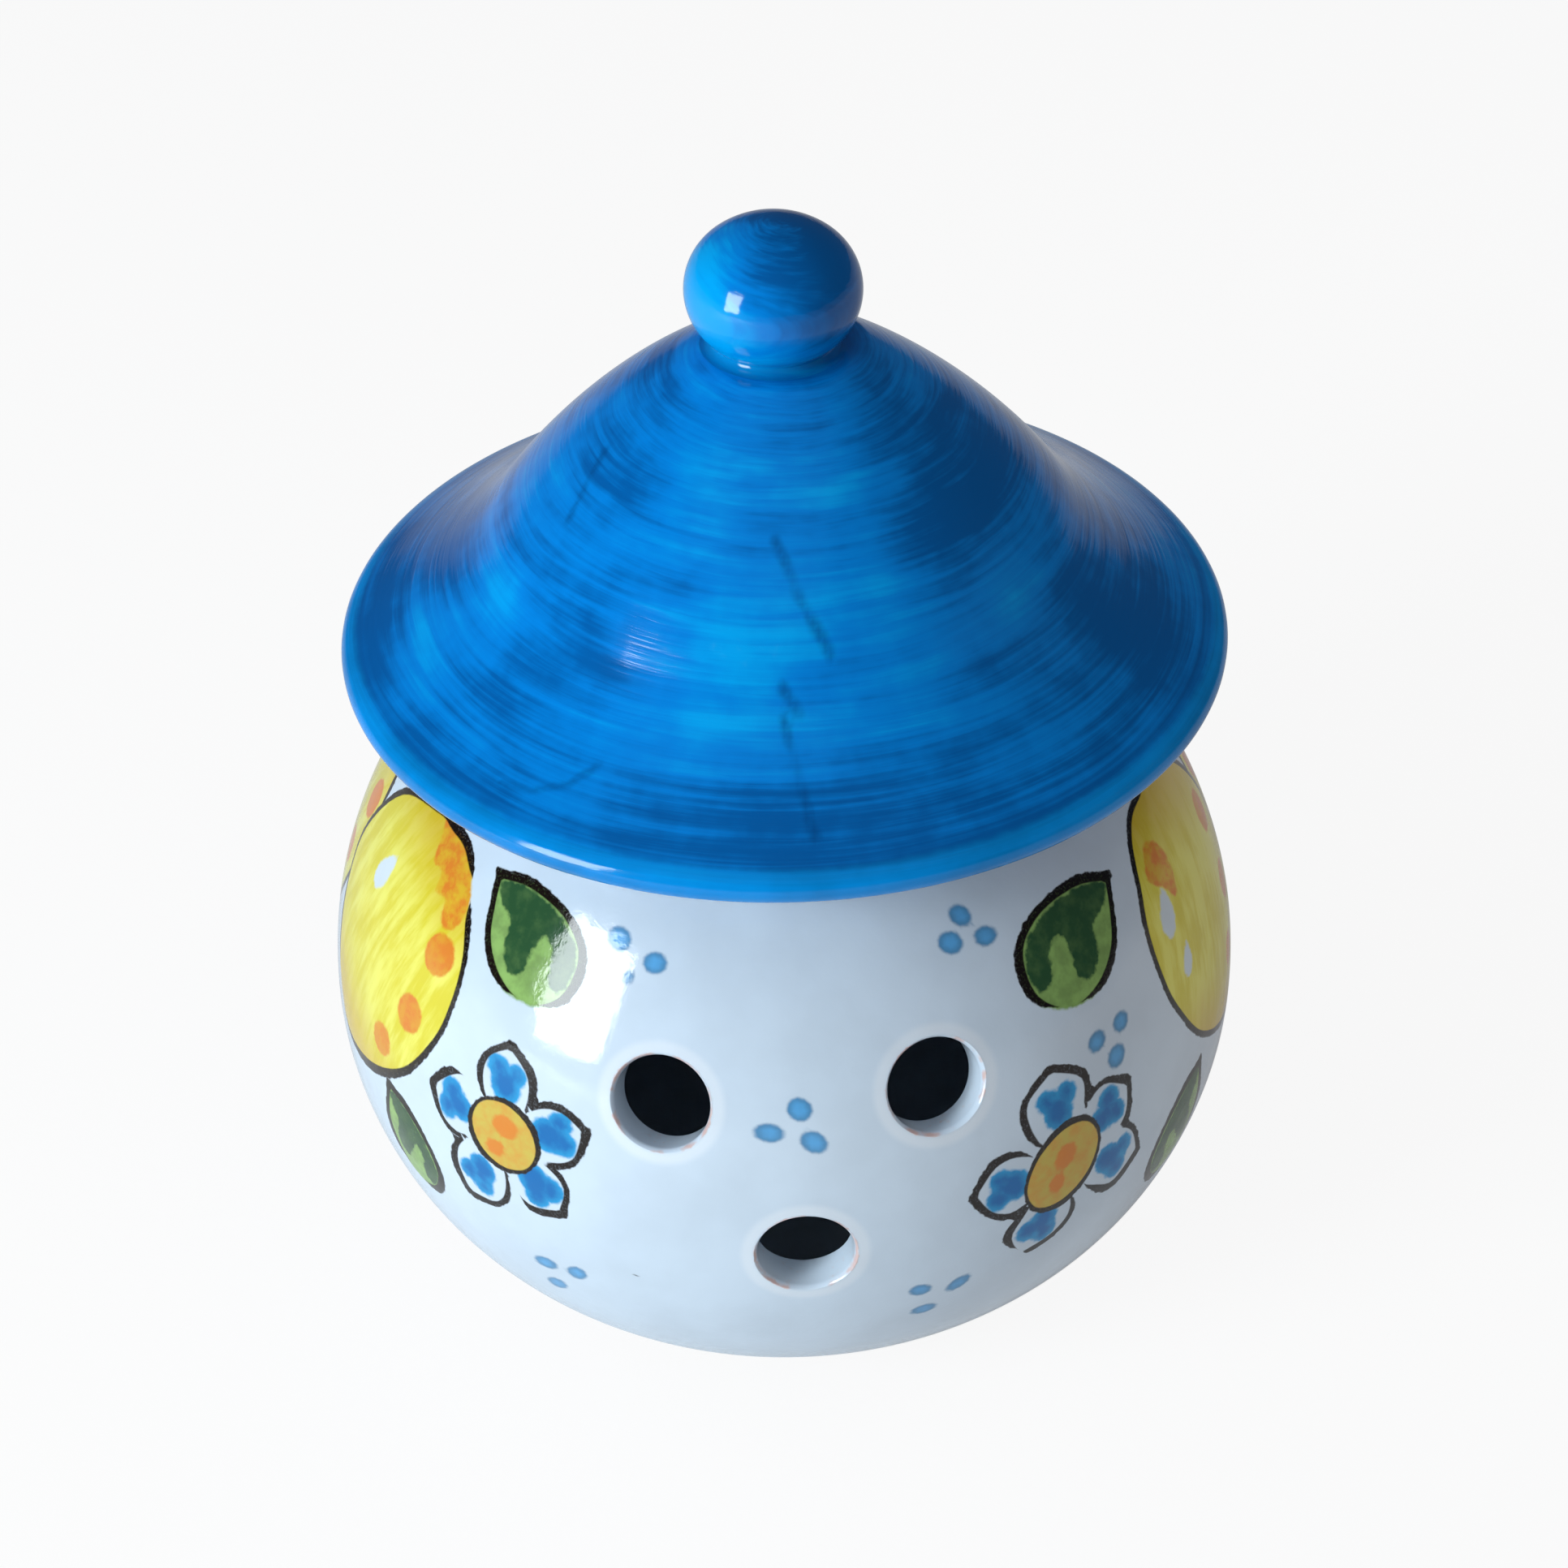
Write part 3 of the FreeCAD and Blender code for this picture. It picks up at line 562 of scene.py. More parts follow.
def hat_curves(s, rim_height):
    """Middle points of the hat's lip, brim curve and crown curve, with the crown's radius."""
    lip = (s.brim_radius - s.wall / 2, rim_height - s.brim_drop)
    turn = (s.turn_radius, lip[1] + s.turn_rise)
    land = (s.land_radius, lip[1] + s.land_rise)
    brim = meeting(lip, turn, s.brim_curve + s.wall / 2, s.brim_curve, -1)
    normal = ((turn[0] - brim[0]) / s.brim_curve, (turn[1] - brim[1]) / s.brim_curve)
    chord = (land[0] - turn[0], land[1] - turn[1])
    radius = (chord[0] ** 2 + chord[1] ** 2) / (2 * (chord[0] * normal[0] + chord[1] * normal[1]))
    crown = (turn[0] + radius * normal[0], turn[1] + radius * normal[1])
    return lip, brim, crown, radius


def cant_brim(piece, s):
    """Tips the brim a little, higher on the right, and leaves the crown's top and all below the seat."""
    places = vertices_of(piece)
    reach = np.hypot(places[:, 0], places[:, 1])
    seat = bpy.context.scene.pot_sizes.rim_height
    above_seat = np.where(reach < 49 * MM, ease(places[:, 2], seat, seat + 8 * MM), 1)
    share = ease(reach, 20 * MM, 52 * MM) * above_seat
    places[:, 2] += places[:, 0] * math.tan(s.cant) * share
    move_vertices(piece, places)


# Soft lighter and darker places in the lid's glaze: turn in degrees, radius, half sizes in mm, strength
GLAZE_PATCHES = (
    (-72, 58, 14, 9, 0.2), (-44, 50, 15, 9, -0.95), (-62, 33, 14, 12, -0.8), (-12, 43, 14, 4, 0.6),
    (45, 42.5, 10, 3.5, 0.5), (0, 58, 22, 5, -0.3), (38, 58, 20, 8, -0.4), (-22, 30, 12, 8, 0.25),
    (-95, 58, 24, 12, -0.8), (-55, 64, 26, 5, -0.5), (-30, 40, 10, 8, -0.35), (40, 36, 10, 5, -0.8),
    (66, 34, 18, 14, -0.9), (86, 55, 24, 16, -0.9), (18, 34, 14, 7, 0.35), (10, 66, 40, 4, -0.3),
    (180, 40, 30, 15, 0.3), (-120, 50, 30, 12, -0.3),
    (150, 60, 26, 8, 0.35), (-160, 28, 18, 9, -0.4), (-20, 55, 12, 4, 0.3), (16, 49, 16, 4, 0.3),
)
# Dark strokes that the brush left: points of turn in degrees and radius in mm, and how faint each is
GLAZE_STROKES = (
    (((-2.3, 31.9), (3.4, 37.7), (8.7, 43.4)), 0), (((-0.1, 46.3), (2.6, 48.7)), 0),
    (((-0.1, 49.4), (2.3, 55.6), (4.1, 63)), 0), (((-67.5, 29), (-60.7, 37)), 0.2),
    (((-41, 63.6), (-36.4, 63), (-31.6, 60.4), (-28.4, 57)), 0.34),
    (((118, 40), (126, 52)), 0.1), (((-150, 45), (-146, 58)), 0.1),
)


def brush_hat(hat):
    """Stores the soft patches, the distance from the dark strokes, and which side the glaze is on."""
    places = vertices_of(hat) / MM
    turn = np.degrees(np.arctan2(places[:, 0], -places[:, 1]))
    reach = np.hypot(places[:, 0], places[:, 1])
    tone = np.zeros(len(places))
    for middle, radius, wide, high, strength in GLAZE_PATCHES:
        along = np.radians((turn - middle + 180) % 360 - 180) * np.maximum(reach, 12)
        tone += strength * np.exp(-((along / wide) ** 2) - ((reach - radius) / high) ** 2)
    away = np.full(len(places), 20.0)
    for stroke, faint in GLAZE_STROKES:
        line = [(r * math.sin(math.radians(a)), -r * math.cos(math.radians(a))) for a, r in stroke]
        for (ax, ay), (bx, by) in zip(line, line[1:]):
            dx, dy = bx - ax, by - ay
            share = ((places[:, 0] - ax) * dx + (places[:, 1] - ay) * dy) / (dx * dx + dy * dy)
            share = np.clip(share, 0, 1)
            off = np.hypot(places[:, 0] - ax - share * dx, places[:, 1] - ay - share * dy)
            away = np.minimum(away, off + faint)
    normals = np.empty(len(places) * 3)
    hat.data.vertex_normals.foreach_get("vector", normals)
    under = 1 - ease(normals.reshape(-1, 3)[:, 2], -0.75, -0.35)
    keep_attribute(hat, "glaze", tone, away, under)


# Finishes


class Wire:
    """An output of a material's node. Arithmetic on it adds Math nodes."""

    def __init__(self, finish, socket):
        self.finish, self.socket = finish, socket

    def math(self, operation, *values):
        """A Math node that takes this wire first, and then the values."""
        return self.finish.node("ShaderNodeMath", {"operation": operation}, dict(enumerate((self, *values))))

    def __add__(self, other):
        return self.math("ADD", other)

    def __sub__(self, other):
        return self.math("SUBTRACT", other)

    def __rsub__(self, other):
        return self.finish.node("ShaderNodeMath", {"operation": "SUBTRACT"}, {0: other, 1: self})

    def __mul__(self, other):
        return self.math("MULTIPLY", other)

    def __truediv__(self, other):
        return self.math("DIVIDE", other)

    def __abs__(self):
        return self.math("ABSOLUTE")

    __radd__ = __add__
    __rmul__ = __mul__


class Finish:
    """A material that is built up node by node."""

    def __init__(self, name):
        self.material = bpy.data.materials.new(name)
        self.material.use_nodes = True
        self.use(self.material.node_tree)

    @classmethod
    def of_tree(cls, tree):
        """The same tools for a node tree that isn't a material's, such as the world's."""
        finish = cls.__new__(cls)
        finish.use(tree)
        return finish

    def use(self, tree):
        self.nodes, self.links = tree.nodes, tree.links
        self.nodes.clear()

    def node(self, kind, settings=None, inputs=None, output=0):
        """Adds a node: its settings first, then each input's value or link. Gives one of its outputs."""
        made = self.nodes.new(kind)
        for name, value in (settings or {}).items():
            setattr(made, name, value)
        for key, value in (inputs or {}).items():
            if isinstance(value, Wire):
                self.links.new(value.socket, made.inputs[key])
            else:
                made.inputs[key].default_value = value
        return Wire(self, made.outputs[output])

    def place(self):
        return self.node("ShaderNodeTexCoord", output="Object")

    def split(self, vector):
        first = self.node("ShaderNodeSeparateXYZ", None, {0: vector})
        return tuple(Wire(self, first.socket.node.outputs[n]) for n in range(3))

    def vector(self, x, y, z):
        return self.node("ShaderNodeCombineXYZ", None, {0: x, 1: y, 2: z})

    def stored(self, name):
        """The three numbers that a piece stores for its vertices under this name."""
        return self.split(self.node("ShaderNodeAttribute", {"attribute_name": name}, output="Vector"))

    def noise(self, vector, scale, detail=2.0, roughness=0.5):
        inputs = {"Vector": vector, "Scale": scale, "Detail": detail, "Roughness": roughness}
        return self.node("ShaderNodeTexNoise", None, inputs, "Fac")

    def ease(self, value, low, high):
        """0 below low, 1 above high, and smooth between."""
        settings = {"interpolation_type": "SMOOTHSTEP"}
        return self.node("ShaderNodeMapRange", settings, {0: value, 1: low, 2: high, 3: 0.0, 4: 1.0})

    def blend(self, share, first, second):
        return self.node("ShaderNodeMix", {"data_type": "RGBA"}, {0: share, 6: first, 7: second}, 2)

    def ink(self, edge, pen, wobble):
        """A brush line along an edge, as wide as its pen at each place."""
        return 1 - self.ease(abs(edge + wobble * 0.4) - pen * BRUSH + wobble * 0.3, -0.14, 0.16)

    def wash(self, edge, wobble, soft=0.35):
        """1 inside a painted shape, fading over its edge."""
        return 1 - self.ease(edge + wobble * 0.9, -soft, soft)

    def close(self, base, roughness, height, depth, specular=0.5):
        """Ends the material with a glossy surface whose height moves the light a little."""
        bump = self.node("ShaderNodeBump", None, {"Strength": 1.0, "Distance": depth, "Height": height})
        inputs = {"Base Color": base, "Roughness": roughness, "Normal": bump, "Specular IOR Level": specular}
        surface = self.node("ShaderNodeBsdfPrincipled", None, inputs)
        self.node_out(surface)
        return self.material

    def node_out(self, surface):
        out = self.nodes.new("ShaderNodeOutputMaterial")
        self.links.new(surface.socket, out.inputs["Surface"])


def glaze_colours():
    """The named colours, as a colour socket takes them."""
    return {name: (*getattr(bpy.context.scene.glazes, name), 1.0) for name in Glazes.__annotations__}


def shade(colour, share):
    """A colour with this share of its light."""
    return (*(share * part for part in colour[:3]), 1.0)


def pot_glaze():
    """White glaze over the painted lemons, leaves and flowers, with bare clay where it pulled away, and a
    painted highlight as a lighter ring round each vent.
    """
    c = glaze_colours()
    f = Finish("painted_white_glaze")
    place = f.place()
    wobble = f.noise(place, 900.0, 3.0) - 0.5
    slow = f.noise(place, 60.0, 3.0)
    fine = f.noise(place, 2600.0, 3.0, 0.7)
    pools = f.noise(place, 380.0, 3.0, 0.6)
    brush_x, brush_y, seed = f.stored("brush")
    along = brush_x * 0.3 + brush_y * 0.95
    aside = brush_y * 0.3 - brush_x * 0.95
    streak = f.noise(f.vector(along * 0.06, aside * 0.34, seed), 1.0, 4.0, 0.6)
    lemon, lemon_pen, fruit_blot = f.stored("lemon")
    patch, bare, behind_blot = f.stored("lemon_marks")
    behind, behind_pen, _ = f.stored("lemon_behind")
    leaf, leaf_pen, leaf_stroke = f.stored("leaf")
    petal, petal_pen, petal_blot = f.stored("petal")
    heart, heart_pen, heart_blot = f.stored("heart")
    dot, vent, speck = f.stored("spots")

    white = f.blend(f.ease(slow, 0.35, 0.7), c["white"], shade(c["white"], 0.93))
    dot_tone = f.ease(dot + pools * 0.8, -0.9, 0.5)
    deep_dot = shade(c["dot"], 0.55)
    colour = f.blend(f.wash(dot, wobble * 0.35) * 0.92, white, f.blend(dot_tone, c["dot"], deep_dot))

    not_lemon = f.ease(lemon, -0.2, 0.2)
    watery = f.ease(streak * 0.7 + f.noise(place, 110.0, 2.0) * 0.3, 0.4, 0.6)
    washes = f.blend(watery, c["yellow"], c["pale_yellow"])
    ends = f.ease(abs(brush_y + brush_x * 0.3) + streak * 10, 14.0, 30.0)
    washes = f.blend(ends * 0.75, washes, c["ochre"])
    orange = f.blend(f.ease(pools, 0.35, 0.65), c["orange"], c["yellow"])
    fruit = f.blend(f.wash(fruit_blot, wobble), washes, f.blend(0.25, c["orange"], orange))
    fruit = f.blend(f.wash(patch, wobble), fruit, f.blend(0.55, c["orange"], orange))
    fruit = f.blend(f.wash(bare, wobble) * 0.95, fruit, white)
    behind_fruit = f.blend(f.wash(behind_blot, wobble), washes, c["orange"])
    colour = f.blend(f.wash(behind, wobble) * not_lemon * 0.97, colour, behind_fruit)
    colour = f.blend(f.wash(lemon, wobble) * 0.97, colour, fruit)

    green = f.blend(f.ease(pools, 0.3, 0.7), c["leaf_light"], shade(c["leaf_light"], 0.7))
    green = f.blend(f.wash(leaf_stroke, wobble * 1.6) * (0.72 + 0.5 * pools), green, c["leaf_dark"])
    colour = f.blend(f.wash(leaf - 0.4, wobble) * 0.97, colour, green)

    blue = f.blend(f.ease(petal_blot + pools * 2.4, -0.6, 1.4) * 0.75, c["petal"], PALE_PETAL)
    not_heart = f.ease(heart, -0.2, 0.2)
    colour = f.blend(f.wash(petal_blot, wobble * 0.9) * not_heart, colour, blue)
    middle = f.blend(f.ease(pools, 0.3, 0.8) * 0.5, HEART_YELLOW, c["orange"])
    middle = f.blend(f.wash(heart_blot, wobble) * 0.9, middle, c["orange"])
    colour = f.blend(f.wash(heart, wobble) * 0.97, colour, middle)

    lines = f.ink(behind, behind_pen, wobble) * not_lemon
    for line in (
        f.ink(lemon, lemon_pen, wobble), f.ink(leaf, leaf_pen, wobble), f.ink(heart, heart_pen, wobble),
        f.ink(petal, petal_pen, wobble) * not_heart, f.wash(speck, wobble * 0.2, 0.15),
    ):
        lines = lines.math("MAXIMUM", line)
    dry = 0.88 + 0.12 * f.ease(fine, 0.3, 0.5)
    colour = f.blend(lines * dry, colour, c["ink"])

    _, _, height = f.split(place)
    foot = 1 - f.ease(height + wobble * 0.0006, 0.0007, 0.0013)
    # Painted highlight: a lighter ring on the rounded edge of each vent
    vent_highlight = f.ease(vent, 7.7, 8.6) * (1 - f.ease(vent, 9.2, 10.6))
    colour = f.blend(vent_highlight * 0.3, colour, VENT_HIGHLIGHT_WHITE)
    rim = f.ease(vent + wobble * 0.5, 7.5, 7.75) * (1 - f.ease(vent + wobble * 0.7, 7.95, 8.25))
    torn = rim * f.ease(f.noise(place, 240.0, 3.0), 0.44, 0.6) * 0.8
    colour = f.blend((torn * 0.8).math("MAXIMUM", foot), colour, c["clay"])
    roughness = 0.09 + 0.55 * foot + 0.12 * torn
    return f.close(colour, roughness, f.noise(place, 55.0, 2.0) + 0.1 * pools, 0.0004, 0.42)


def blue_brushwork(f, place, tone):
    """Blue glaze laid on in rings by a wide brush: deep where it is thick, light where it is thin. The tone it
    is given adds in, and on the knob that tone is painted light and shade.
    """
    c = glaze_colours()
    x, y, z = f.split(place)
    reach = (x * x + y * y).math("SQRT") / MM
    round_x, round_y = x / MM / (reach + 2), y / MM / (reach + 2)
    wide = f.noise(f.vector(round_x * 0.9, round_y * 0.9, reach * 0.13), 1.0, 2.0, 0.5)
    narrow = f.noise(f.vector(round_x * 1.1, round_y * 1.1, reach * 0.42 + wide * 2), 1.0, 2.0, 0.6)
    hair = f.noise(f.vector(round_x * 1.6, round_y * 1.6, reach * 1.5 + wide * 3), 1.0, 3.0, 0.6)
    clouds = f.noise(place, 42.0, 4.0, 0.6)
    thin = 0.42 * wide + 0.36 * narrow + 0.4 * hair + 0.74 * clouds + 0.2 * tone - 0.465
    blue = f.blend(f.ease(thin, 0.26, 0.52), c["lid_deep"], c["lid_blue"])
    blue = f.blend(f.ease(thin, 0.48, 0.76), blue, c["lid_cyan"])
    return blue, thin, reach, z / MM, c


def hat_glaze():
    """Blue glaze above, with a painted highlight as a lighter band along the lip and painted shade round the
    knob's foot, and white glaze underneath.
    """
    f = Finish("brushed_blue_glaze")
    place = f.place()
    tone, stroke, under = f.stored("glaze")
    blue, thin, reach, _, c = blue_brushwork(f, place, tone)
    wobble = f.noise(place, 420.0, 3.0) - 0.5
    dark = (1 - f.ease(stroke + wobble * 1.2, -0.1, 1.3)) * f.ease(f.noise(place, 120.0, 2.0), 0.2, 0.5)
    blue = f.blend(dark * 0.6, blue, STROKE_BLUE)
    chalk = f.ease(tone + wobble * 0.5, 0.45, 0.9) * f.ease(f.noise(place, 300.0, 3.0, 0.7), 0.5, 0.64)
    blue = f.blend(chalk * 0.35, blue, CHALKY_BLUE)
    # Painted highlight: a lighter band of blue along the lip
    lip = f.ease(reach + wobble * 0.8, 66.6, 68.2)
    blue = f.blend(lip * 0.35, blue, c["lid_cyan"])
    pool = f.ease(reach + wobble, 64.8, 66.2) * (1 - f.ease(reach + wobble, 66.6, 67.6))
    blue = f.blend(pool * 0.35, blue, c["lid_deep"])
    # Painted shade: darker blue in the crease round the knob's foot
    groove = 1 - f.ease(reach + wobble * 0.8, 10.6, 13.0)
    blue = f.blend(groove * 0.4, blue, KNOB_SHADE_BLUE)
    edge = under * (1 - f.ease(reach + wobble * 3, 61.0, 63.0))
    colour = f.blend(edge, blue, c["white"])
    return f.close(colour, 0.1 + 0.04 * thin, thin * 0.6 + f.noise(place, 45.0, 2.0), 0.00022, 0.3)


def knob_glaze():
    """The same blue glaze on the knob, with painted light making it lighter towards its lower left, and painted
    shade making it darker towards its upper right and round its neck.
    """
    f = Finish("pooled_blue_glaze")
    place = f.place()
    x, _, z = f.split(place)
    # Painted light and shade: this tone rises towards the lower left, where the window lamp falls, and drops
    # towards the upper right, so the blue is lighter and darker there
    lean = 0.1 - x * 60 - (z - 0.178) * 70
    blue, thin, _, height, _ = blue_brushwork(f, place, lean * 1.5)
    # Painted shade: darker blue round the knob's neck, under the ball
    neck_shade = 1 - f.ease(height, 169.2, 171.6)
    blue = f.blend(neck_shade * 0.45, blue, KNOB_SHADE_BLUE)
    return f.close(blue, 0.08, thin * 0.5 + f.noise(place, 70.0, 2.0), 0.0002, 0.32)


def ring_glaze():
    """White glaze on the locating ring, wiped back to clay where it stands on the rim."""
    f = Finish("wiped_white_glaze")
    c = glaze_colours()
    place = f.place()
    _, _, z = f.split(place)
    wobble = f.noise(place, 420.0, 3.0) - 0.5
    height = z / MM + wobble * 0.8
    seat = bpy.context.scene.pot_sizes.rim_height / MM
    bare = f.ease(height, seat - 1.2, seat - 0.6) * (1 - f.ease(height, seat + 0.8, seat + 1.5))
    slow = f.ease(f.noise(place, 60.0, 3.0), 0.35, 0.7)
    white = f.blend(slow, c["white"], shade(c["white"], 0.9))
    clay = f.blend(f.noise(place, 700.0, 4.0), c["clay"], shade(c["clay"], 0.75))
    return f.close(f.blend(bare, white, clay), 0.12 + 0.6 * bare, f.noise(place, 60.0, 2.0), 0.0003)


def dress(piece, material, body, node):
    """Gives a finished piece its glaze and its body, and hides the solid that it stands for."""
    piece.data.materials.clear()
    piece.data.materials.append(material)
    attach(piece, body)
    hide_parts(node)


class GARLIC_OT_pot(bpy.types.Operator):
    """Throw the pot, cut its vents and paint it"""

    bl_idname = "garlic.pot"
    bl_label = "Pot"

    def execute(self, context):
        s = context.scene.pot_sizes
        pot = throw("painted_pot", pot_outline(s), s.columns)
        wave_by_hand(pot, s)
        cut_vents(pot, s)
        paint_pot(pot, s)
        dress(pot, pot_glaze(), "pot", "pot")
        return {"FINISHED"}


class GARLIC_OT_hat(bpy.types.Operator):
    """Throw the hat of the lid and brush its blue glaze"""

    bl_idname = "garlic.hat"
    bl_label = "Hat"

    def execute(self, context):
        s, rim = context.scene.lid_sizes, context.scene.pot_sizes.rim_height
        lip, brim, crown, radius = hat_curves(s, rim)
        top, ceiling = lip[1] + s.land_rise, lip[1] + s.land_rise - s.wall
        ceiling_x = crown[0] + across(radius - s.wall, ceiling - crown[1])
        turn, end = bearing(brim, crown), bearing(brim, lip)
        land = (s.land_radius, top)
        points = [(0, top), (0.4 * s.land_radius, top), (0.8 * s.land_radius, top)]
        points += arc(crown, radius, bearing(crown, land), turn - 180, 44)
        points += arc(brim, s.brim_curve, turn, end, 34)[1:]
        points += arc(lip, s.wall / 2, end + 180, end, 12)[1:-1]
        points += arc(brim, s.brim_curve + s.wall, end, turn, 16)
        points += arc(crown, radius - s.wall, turn - 180, bearing(crown, (ceiling_x, ceiling)), 18)[1:]
        points += [(0.5 * ceiling_x, ceiling), (0, ceiling)]
        hat = throw("brushed_hat", points, s.columns)
        brush_hat(hat)
        cant_brim(hat, s)
        dress(hat, hat_glaze(), "lid", "lid_hat")
        return {"FINISHED"}


class GARLIC_OT_ring(bpy.types.Operator):
    """Throw the stepped ring that keeps the lid centred in the mouth"""

    bl_idname = "garlic.ring"
    bl_label = "Locating ring"

    def execute(self, context):
        s, seat = context.scene.lid_sizes, context.scene.pot_sizes.rim_height
        _, brim, crown, radius = hat_curves(s, seat)
        inside, bottom, soft = s.spigot_radius - s.ring_wall, seat - s.spigot_depth, MM
        bury = 0.6 * MM
        reach = s.brim_curve + s.wall - bury
        points = [(inside, bottom + soft)] + arc((inside + soft, bottom + soft), soft, 180, 270, 4)
        points += arc((s.spigot_radius - soft, bottom + soft), soft, 270, 360, 4)
        points += [(s.spigot_radius, seat - 0.4 * MM), (s.spigot_radius + 0.4 * MM, seat)]
        points += arc((s.step_radius - 0.6 * MM, seat + 0.6 * MM), 0.6 * MM, 270, 360, 3)
        top_out = (s.step_radius, brim[1] - across(reach, brim[0] - s.step_radius))
        turn = bearing(brim, crown)
        points += arc(brim, reach, bearing(brim, top_out), turn, 5)
        shell = radius - s.wall + bury
        top_in = (inside, crown[1] + across(shell, inside - crown[0]))
        points += arc(crown, shell, turn - 180, bearing(crown, top_in), 3)[1:]
        points += [(inside, seat + 4 * MM), (inside, seat - 2 * MM), points[0]]
        ring = throw("locating_ring", points, 192)
        cant_brim(ring, s)
        dress(ring, ring_glaze(), "lid", "lid_locating_ring")
        return {"FINISHED"}


class GARLIC_OT_knob(bpy.types.Operator):
    """Throw the ball knob with its soft neck"""

    bl_idname = "garlic.knob"
    bl_label = "Knob"

    def execute(self, context):
        s = context.scene.lid_sizes
        base = context.scene.pot_sizes.rim_height - s.brim_drop + s.land_rise
        side = (s.knob_radius - s.knob_side, s.knob_middle)
        rise = s.knob_height - s.knob_middle
        top_curve = (rise**2 + side[0] ** 2 - s.knob_side**2) / (2 * (rise - s.knob_side))
        top = (0, s.knob_height - top_curve)
        seam = bearing(top, side)
        foot, neck = (s.knob_foot, 0), s.knob_neck
        groove = meeting(side, foot, s.knob_side + neck, neck, 1)
        neck_turn = bearing(side, groove)
        collar = s.knob_collar
        points = [(0, 0), (0.5 * s.knob_foot, 0), (s.knob_foot + collar, 0)]
        points += arc((s.knob_foot + collar - 0.3 * MM, collar), collar, 268, 192, 7)
        points += arc(groove, neck, bearing(groove, foot), neck_turn - 180, 8)[5:]
        points += arc(side, s.knob_side, neck_turn - 360, seam, 26)[1:]
        points += arc(top, top_curve, seam, 90, 16)[1:]
        knob = throw("ball_knob", points, 128, (-s.knob_offset, 0, base))
        dress(knob, knob_glaze(), "lid", "lid_knob")
        return {"FINISHED"}


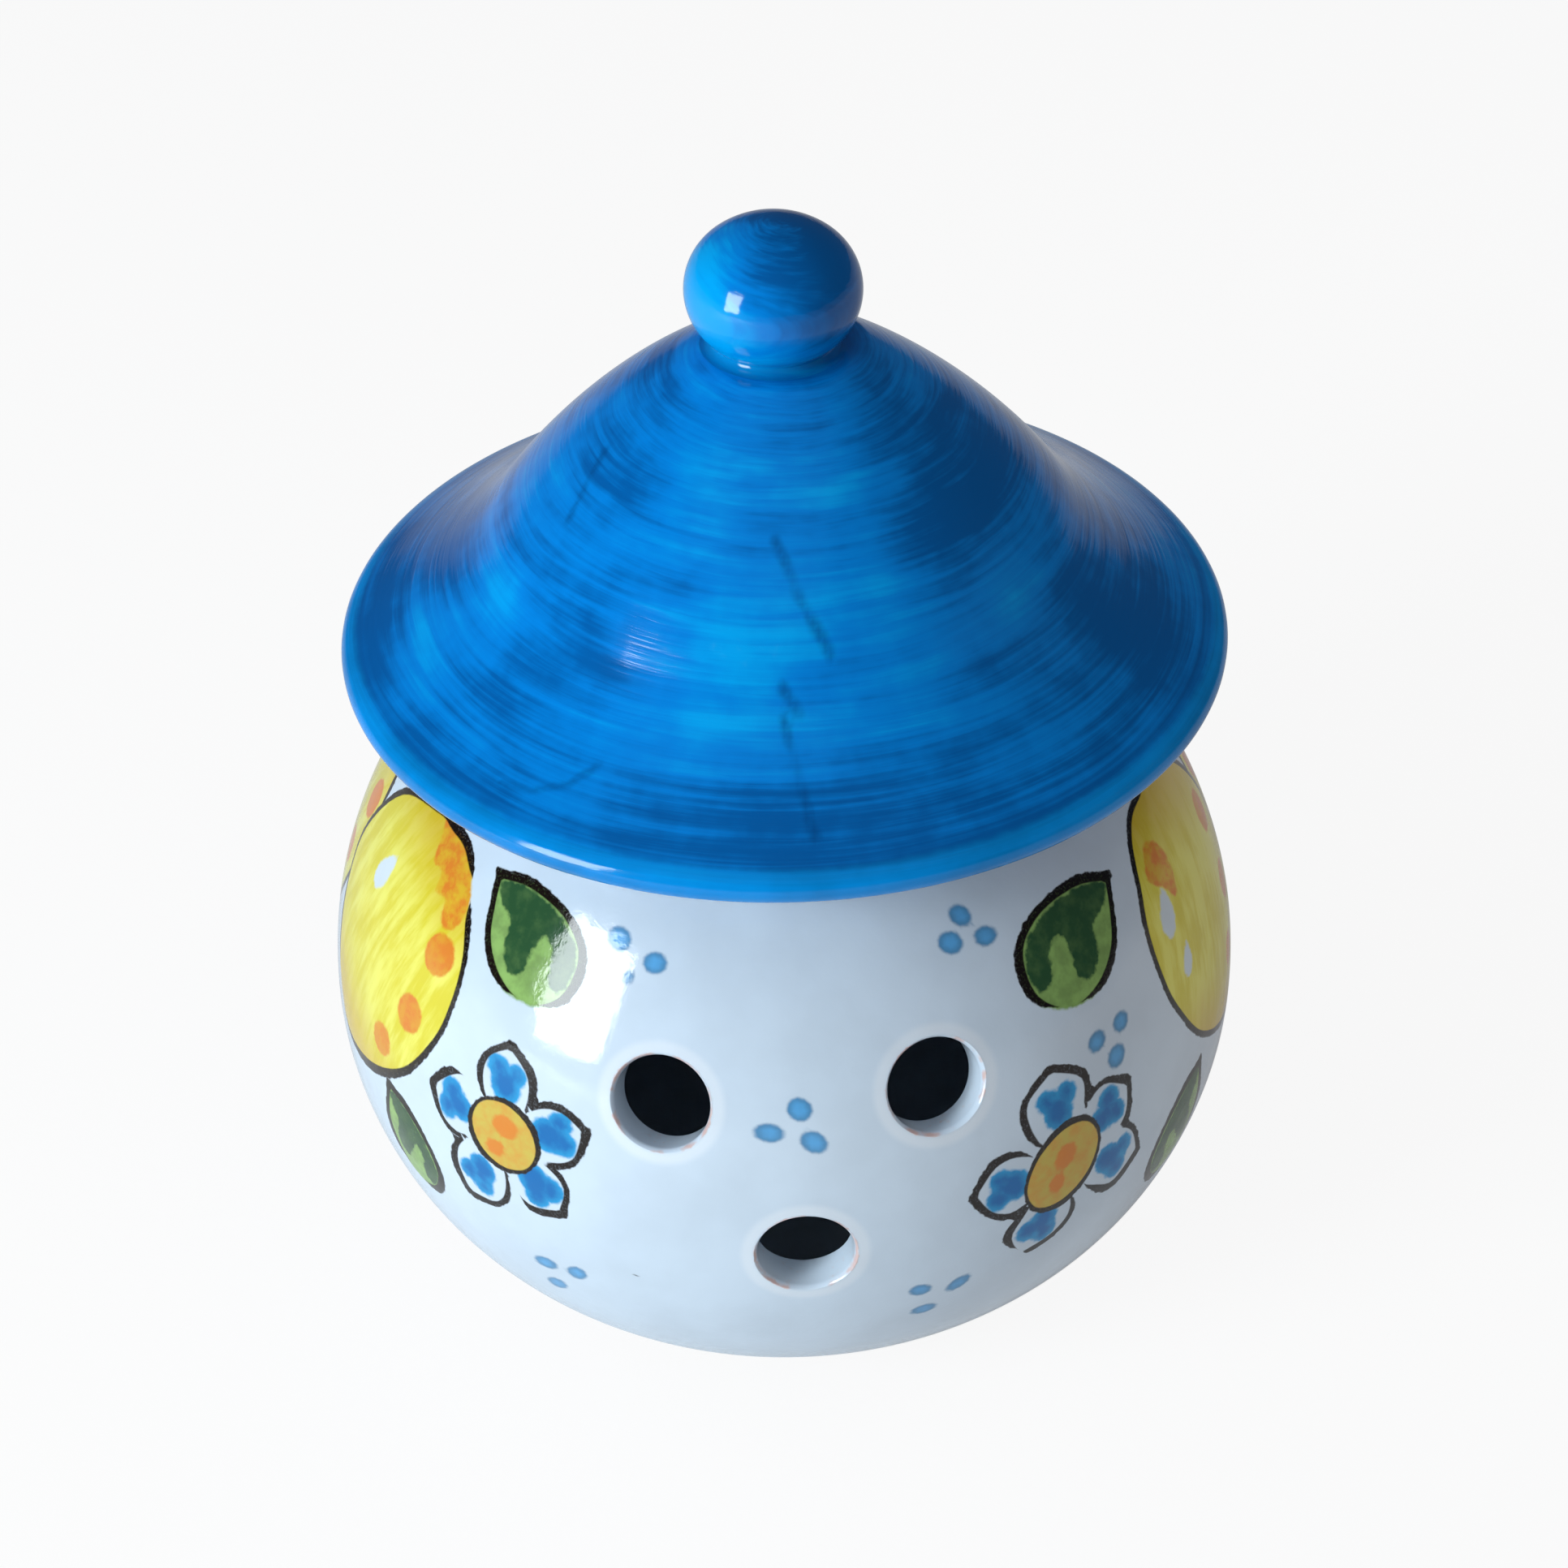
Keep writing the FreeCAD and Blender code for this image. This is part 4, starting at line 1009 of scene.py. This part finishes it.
class GARLIC_OT_stage(bpy.types.Operator):
    """Set the floor, the soft light and the camera"""

    bl_idname = "garlic.stage"
    bl_label = "Stage"

    def execute(self, context):
        scene = context.scene
        bpy.ops.object.select_all(action="DESELECT")
        bpy.ops.mesh.primitive_plane_add(size=40, location=(0, 0, -0.0002))
        floor = context.object
        floor.name = floor.data.name = "floor"
        f = Finish("pale_floor")
        camera, gloss, glass = self.rays(f)
        seen = camera + 0.1 * gloss + 0.25 * glass
        paper = f.node("ShaderNodeBsdfDiffuse", None, {"Color": (0.86, 0.86, 0.86, 1)})
        glow = f.node("ShaderNodeEmission", None, {"Color": (1, 1, 1, 1), "Strength": 1.0})
        f.node_out(f.node("ShaderNodeMixShader", None, {0: seen * 0.9, 1: paper, 2: glow}))
        floor.data.materials.append(f.material)
        world = bpy.data.worlds.new("soft_room")
        scene.world = world
        world.use_nodes = True
        room = Finish.of_tree(world.node_tree)
        camera, gloss, glass = self.rays(room)
        dim = room.blend(gloss, (0.22, 0.225, 0.24, 1), (0.05, 0.07, 0.1, 1))
        tint = room.blend(camera + 0.25 * glass, dim, (1, 1, 1, 1))
        backdrop = room.node("ShaderNodeBackground", None, {"Color": tint})
        room.links.new(backdrop.socket, room.nodes.new("ShaderNodeOutputWorld").inputs["Surface"])
        self.lamp("window", (-0.70, -0.55, 0.34), (0.3, 0.5), 8.8, (0.88, 0.96, 1.0))
        sky = self.lamp("soft_sky", (-0.2, -0.4, 1.7), (1.6, 1.6), 5.5, (0.97, 0.98, 1.0))
        warm = self.lamp("warm_room", (0.95, -0.1, 0.35), (0.9, 0.7), 1.4, (1.0, 0.82, 0.66))
        sky.visible_glossy = warm.visible_glossy = False
        self.camera(scene)
        scene.view_settings.view_transform = "Standard"
        return {"FINISHED"}

    def rays(self, f):
        """Whether a surface is met by the camera's own rays, by a gloss, or through glass."""
        path = f.node("ShaderNodeLightPath", output="Is Camera Ray")
        outputs = path.socket.node.outputs
        return path, Wire(f, outputs["Is Glossy Ray"]), Wire(f, outputs["Is Transmission Ray"])

    def lamp(self, name, place, size, watts, tint):
        data = bpy.data.lights.new(name, "AREA")
        data.shape = "RECTANGLE"
        data.size, data.size_y = size
        data.energy = watts
        data.color = tint
        lamp = bpy.data.objects.new(name, data)
        bpy.context.scene.collection.objects.link(lamp)
        lamp.location = place
        lamp.rotation_euler = (Vector((0, 0, 0.08)) - Vector(place)).to_track_quat("-Z", "Y").to_euler()
        return lamp

    def camera(self, scene):
        data = bpy.data.cameras.new("camera")
        data.sensor_width = 36
        data.lens = 84.25
        camera = bpy.data.objects.new("camera", data)
        scene.collection.objects.link(camera)
        camera.location = (0, -0.4795, 0.44668)
        look = Vector((0, 0, 0.08602)) - camera.location
        camera.rotation_euler = look.to_track_quat("-Z", "Y").to_euler()
        scene.camera = camera


OPERATORS = (GARLIC_OT_pot, GARLIC_OT_ring, GARLIC_OT_hat, GARLIC_OT_knob, GARLIC_OT_stage)


class GARLIC_PT_panel(bpy.types.Panel):
    """Buttons and sizes for the garlic keeper"""

    bl_idname = "GARLIC_PT_panel"
    bl_label = "Garlic keeper"
    bl_space_type = "VIEW_3D"
    bl_region_type = "UI"
    bl_category = "Garlic keeper"

    def draw(self, context):
        for operator in OPERATORS:
            self.layout.operator(operator.bl_idname)
        for group, label in ((PotSizes, "pot_sizes"), (LidSizes, "lid_sizes"), (Glazes, "glazes")):
            box = self.layout.box()
            for name in group.__annotations__:
                box.prop(getattr(context.scene, label), name)


CLASSES = (PotSizes, LidSizes, Glazes, *OPERATORS, GARLIC_PT_panel)


def register():
    for item in CLASSES:
        bpy.utils.register_class(item)
    bpy.types.Scene.pot_sizes = PointerProperty(type=PotSizes)
    bpy.types.Scene.lid_sizes = PointerProperty(type=LidSizes)
    bpy.types.Scene.glazes = PointerProperty(type=Glazes)


def unregister():
    for name in ("pot_sizes", "lid_sizes", "glazes"):
        delattr(bpy.types.Scene, name)
    for item in reversed(CLASSES):
        bpy.utils.unregister_class(item)


def main():
    """Makes the whole garlic keeper."""
    register()
    bpy.ops.garlic.pot()
    bpy.ops.garlic.ring()
    bpy.ops.garlic.hat()
    bpy.ops.garlic.knob()
    bpy.ops.garlic.stage()


if __name__ == "__main__":
    main()
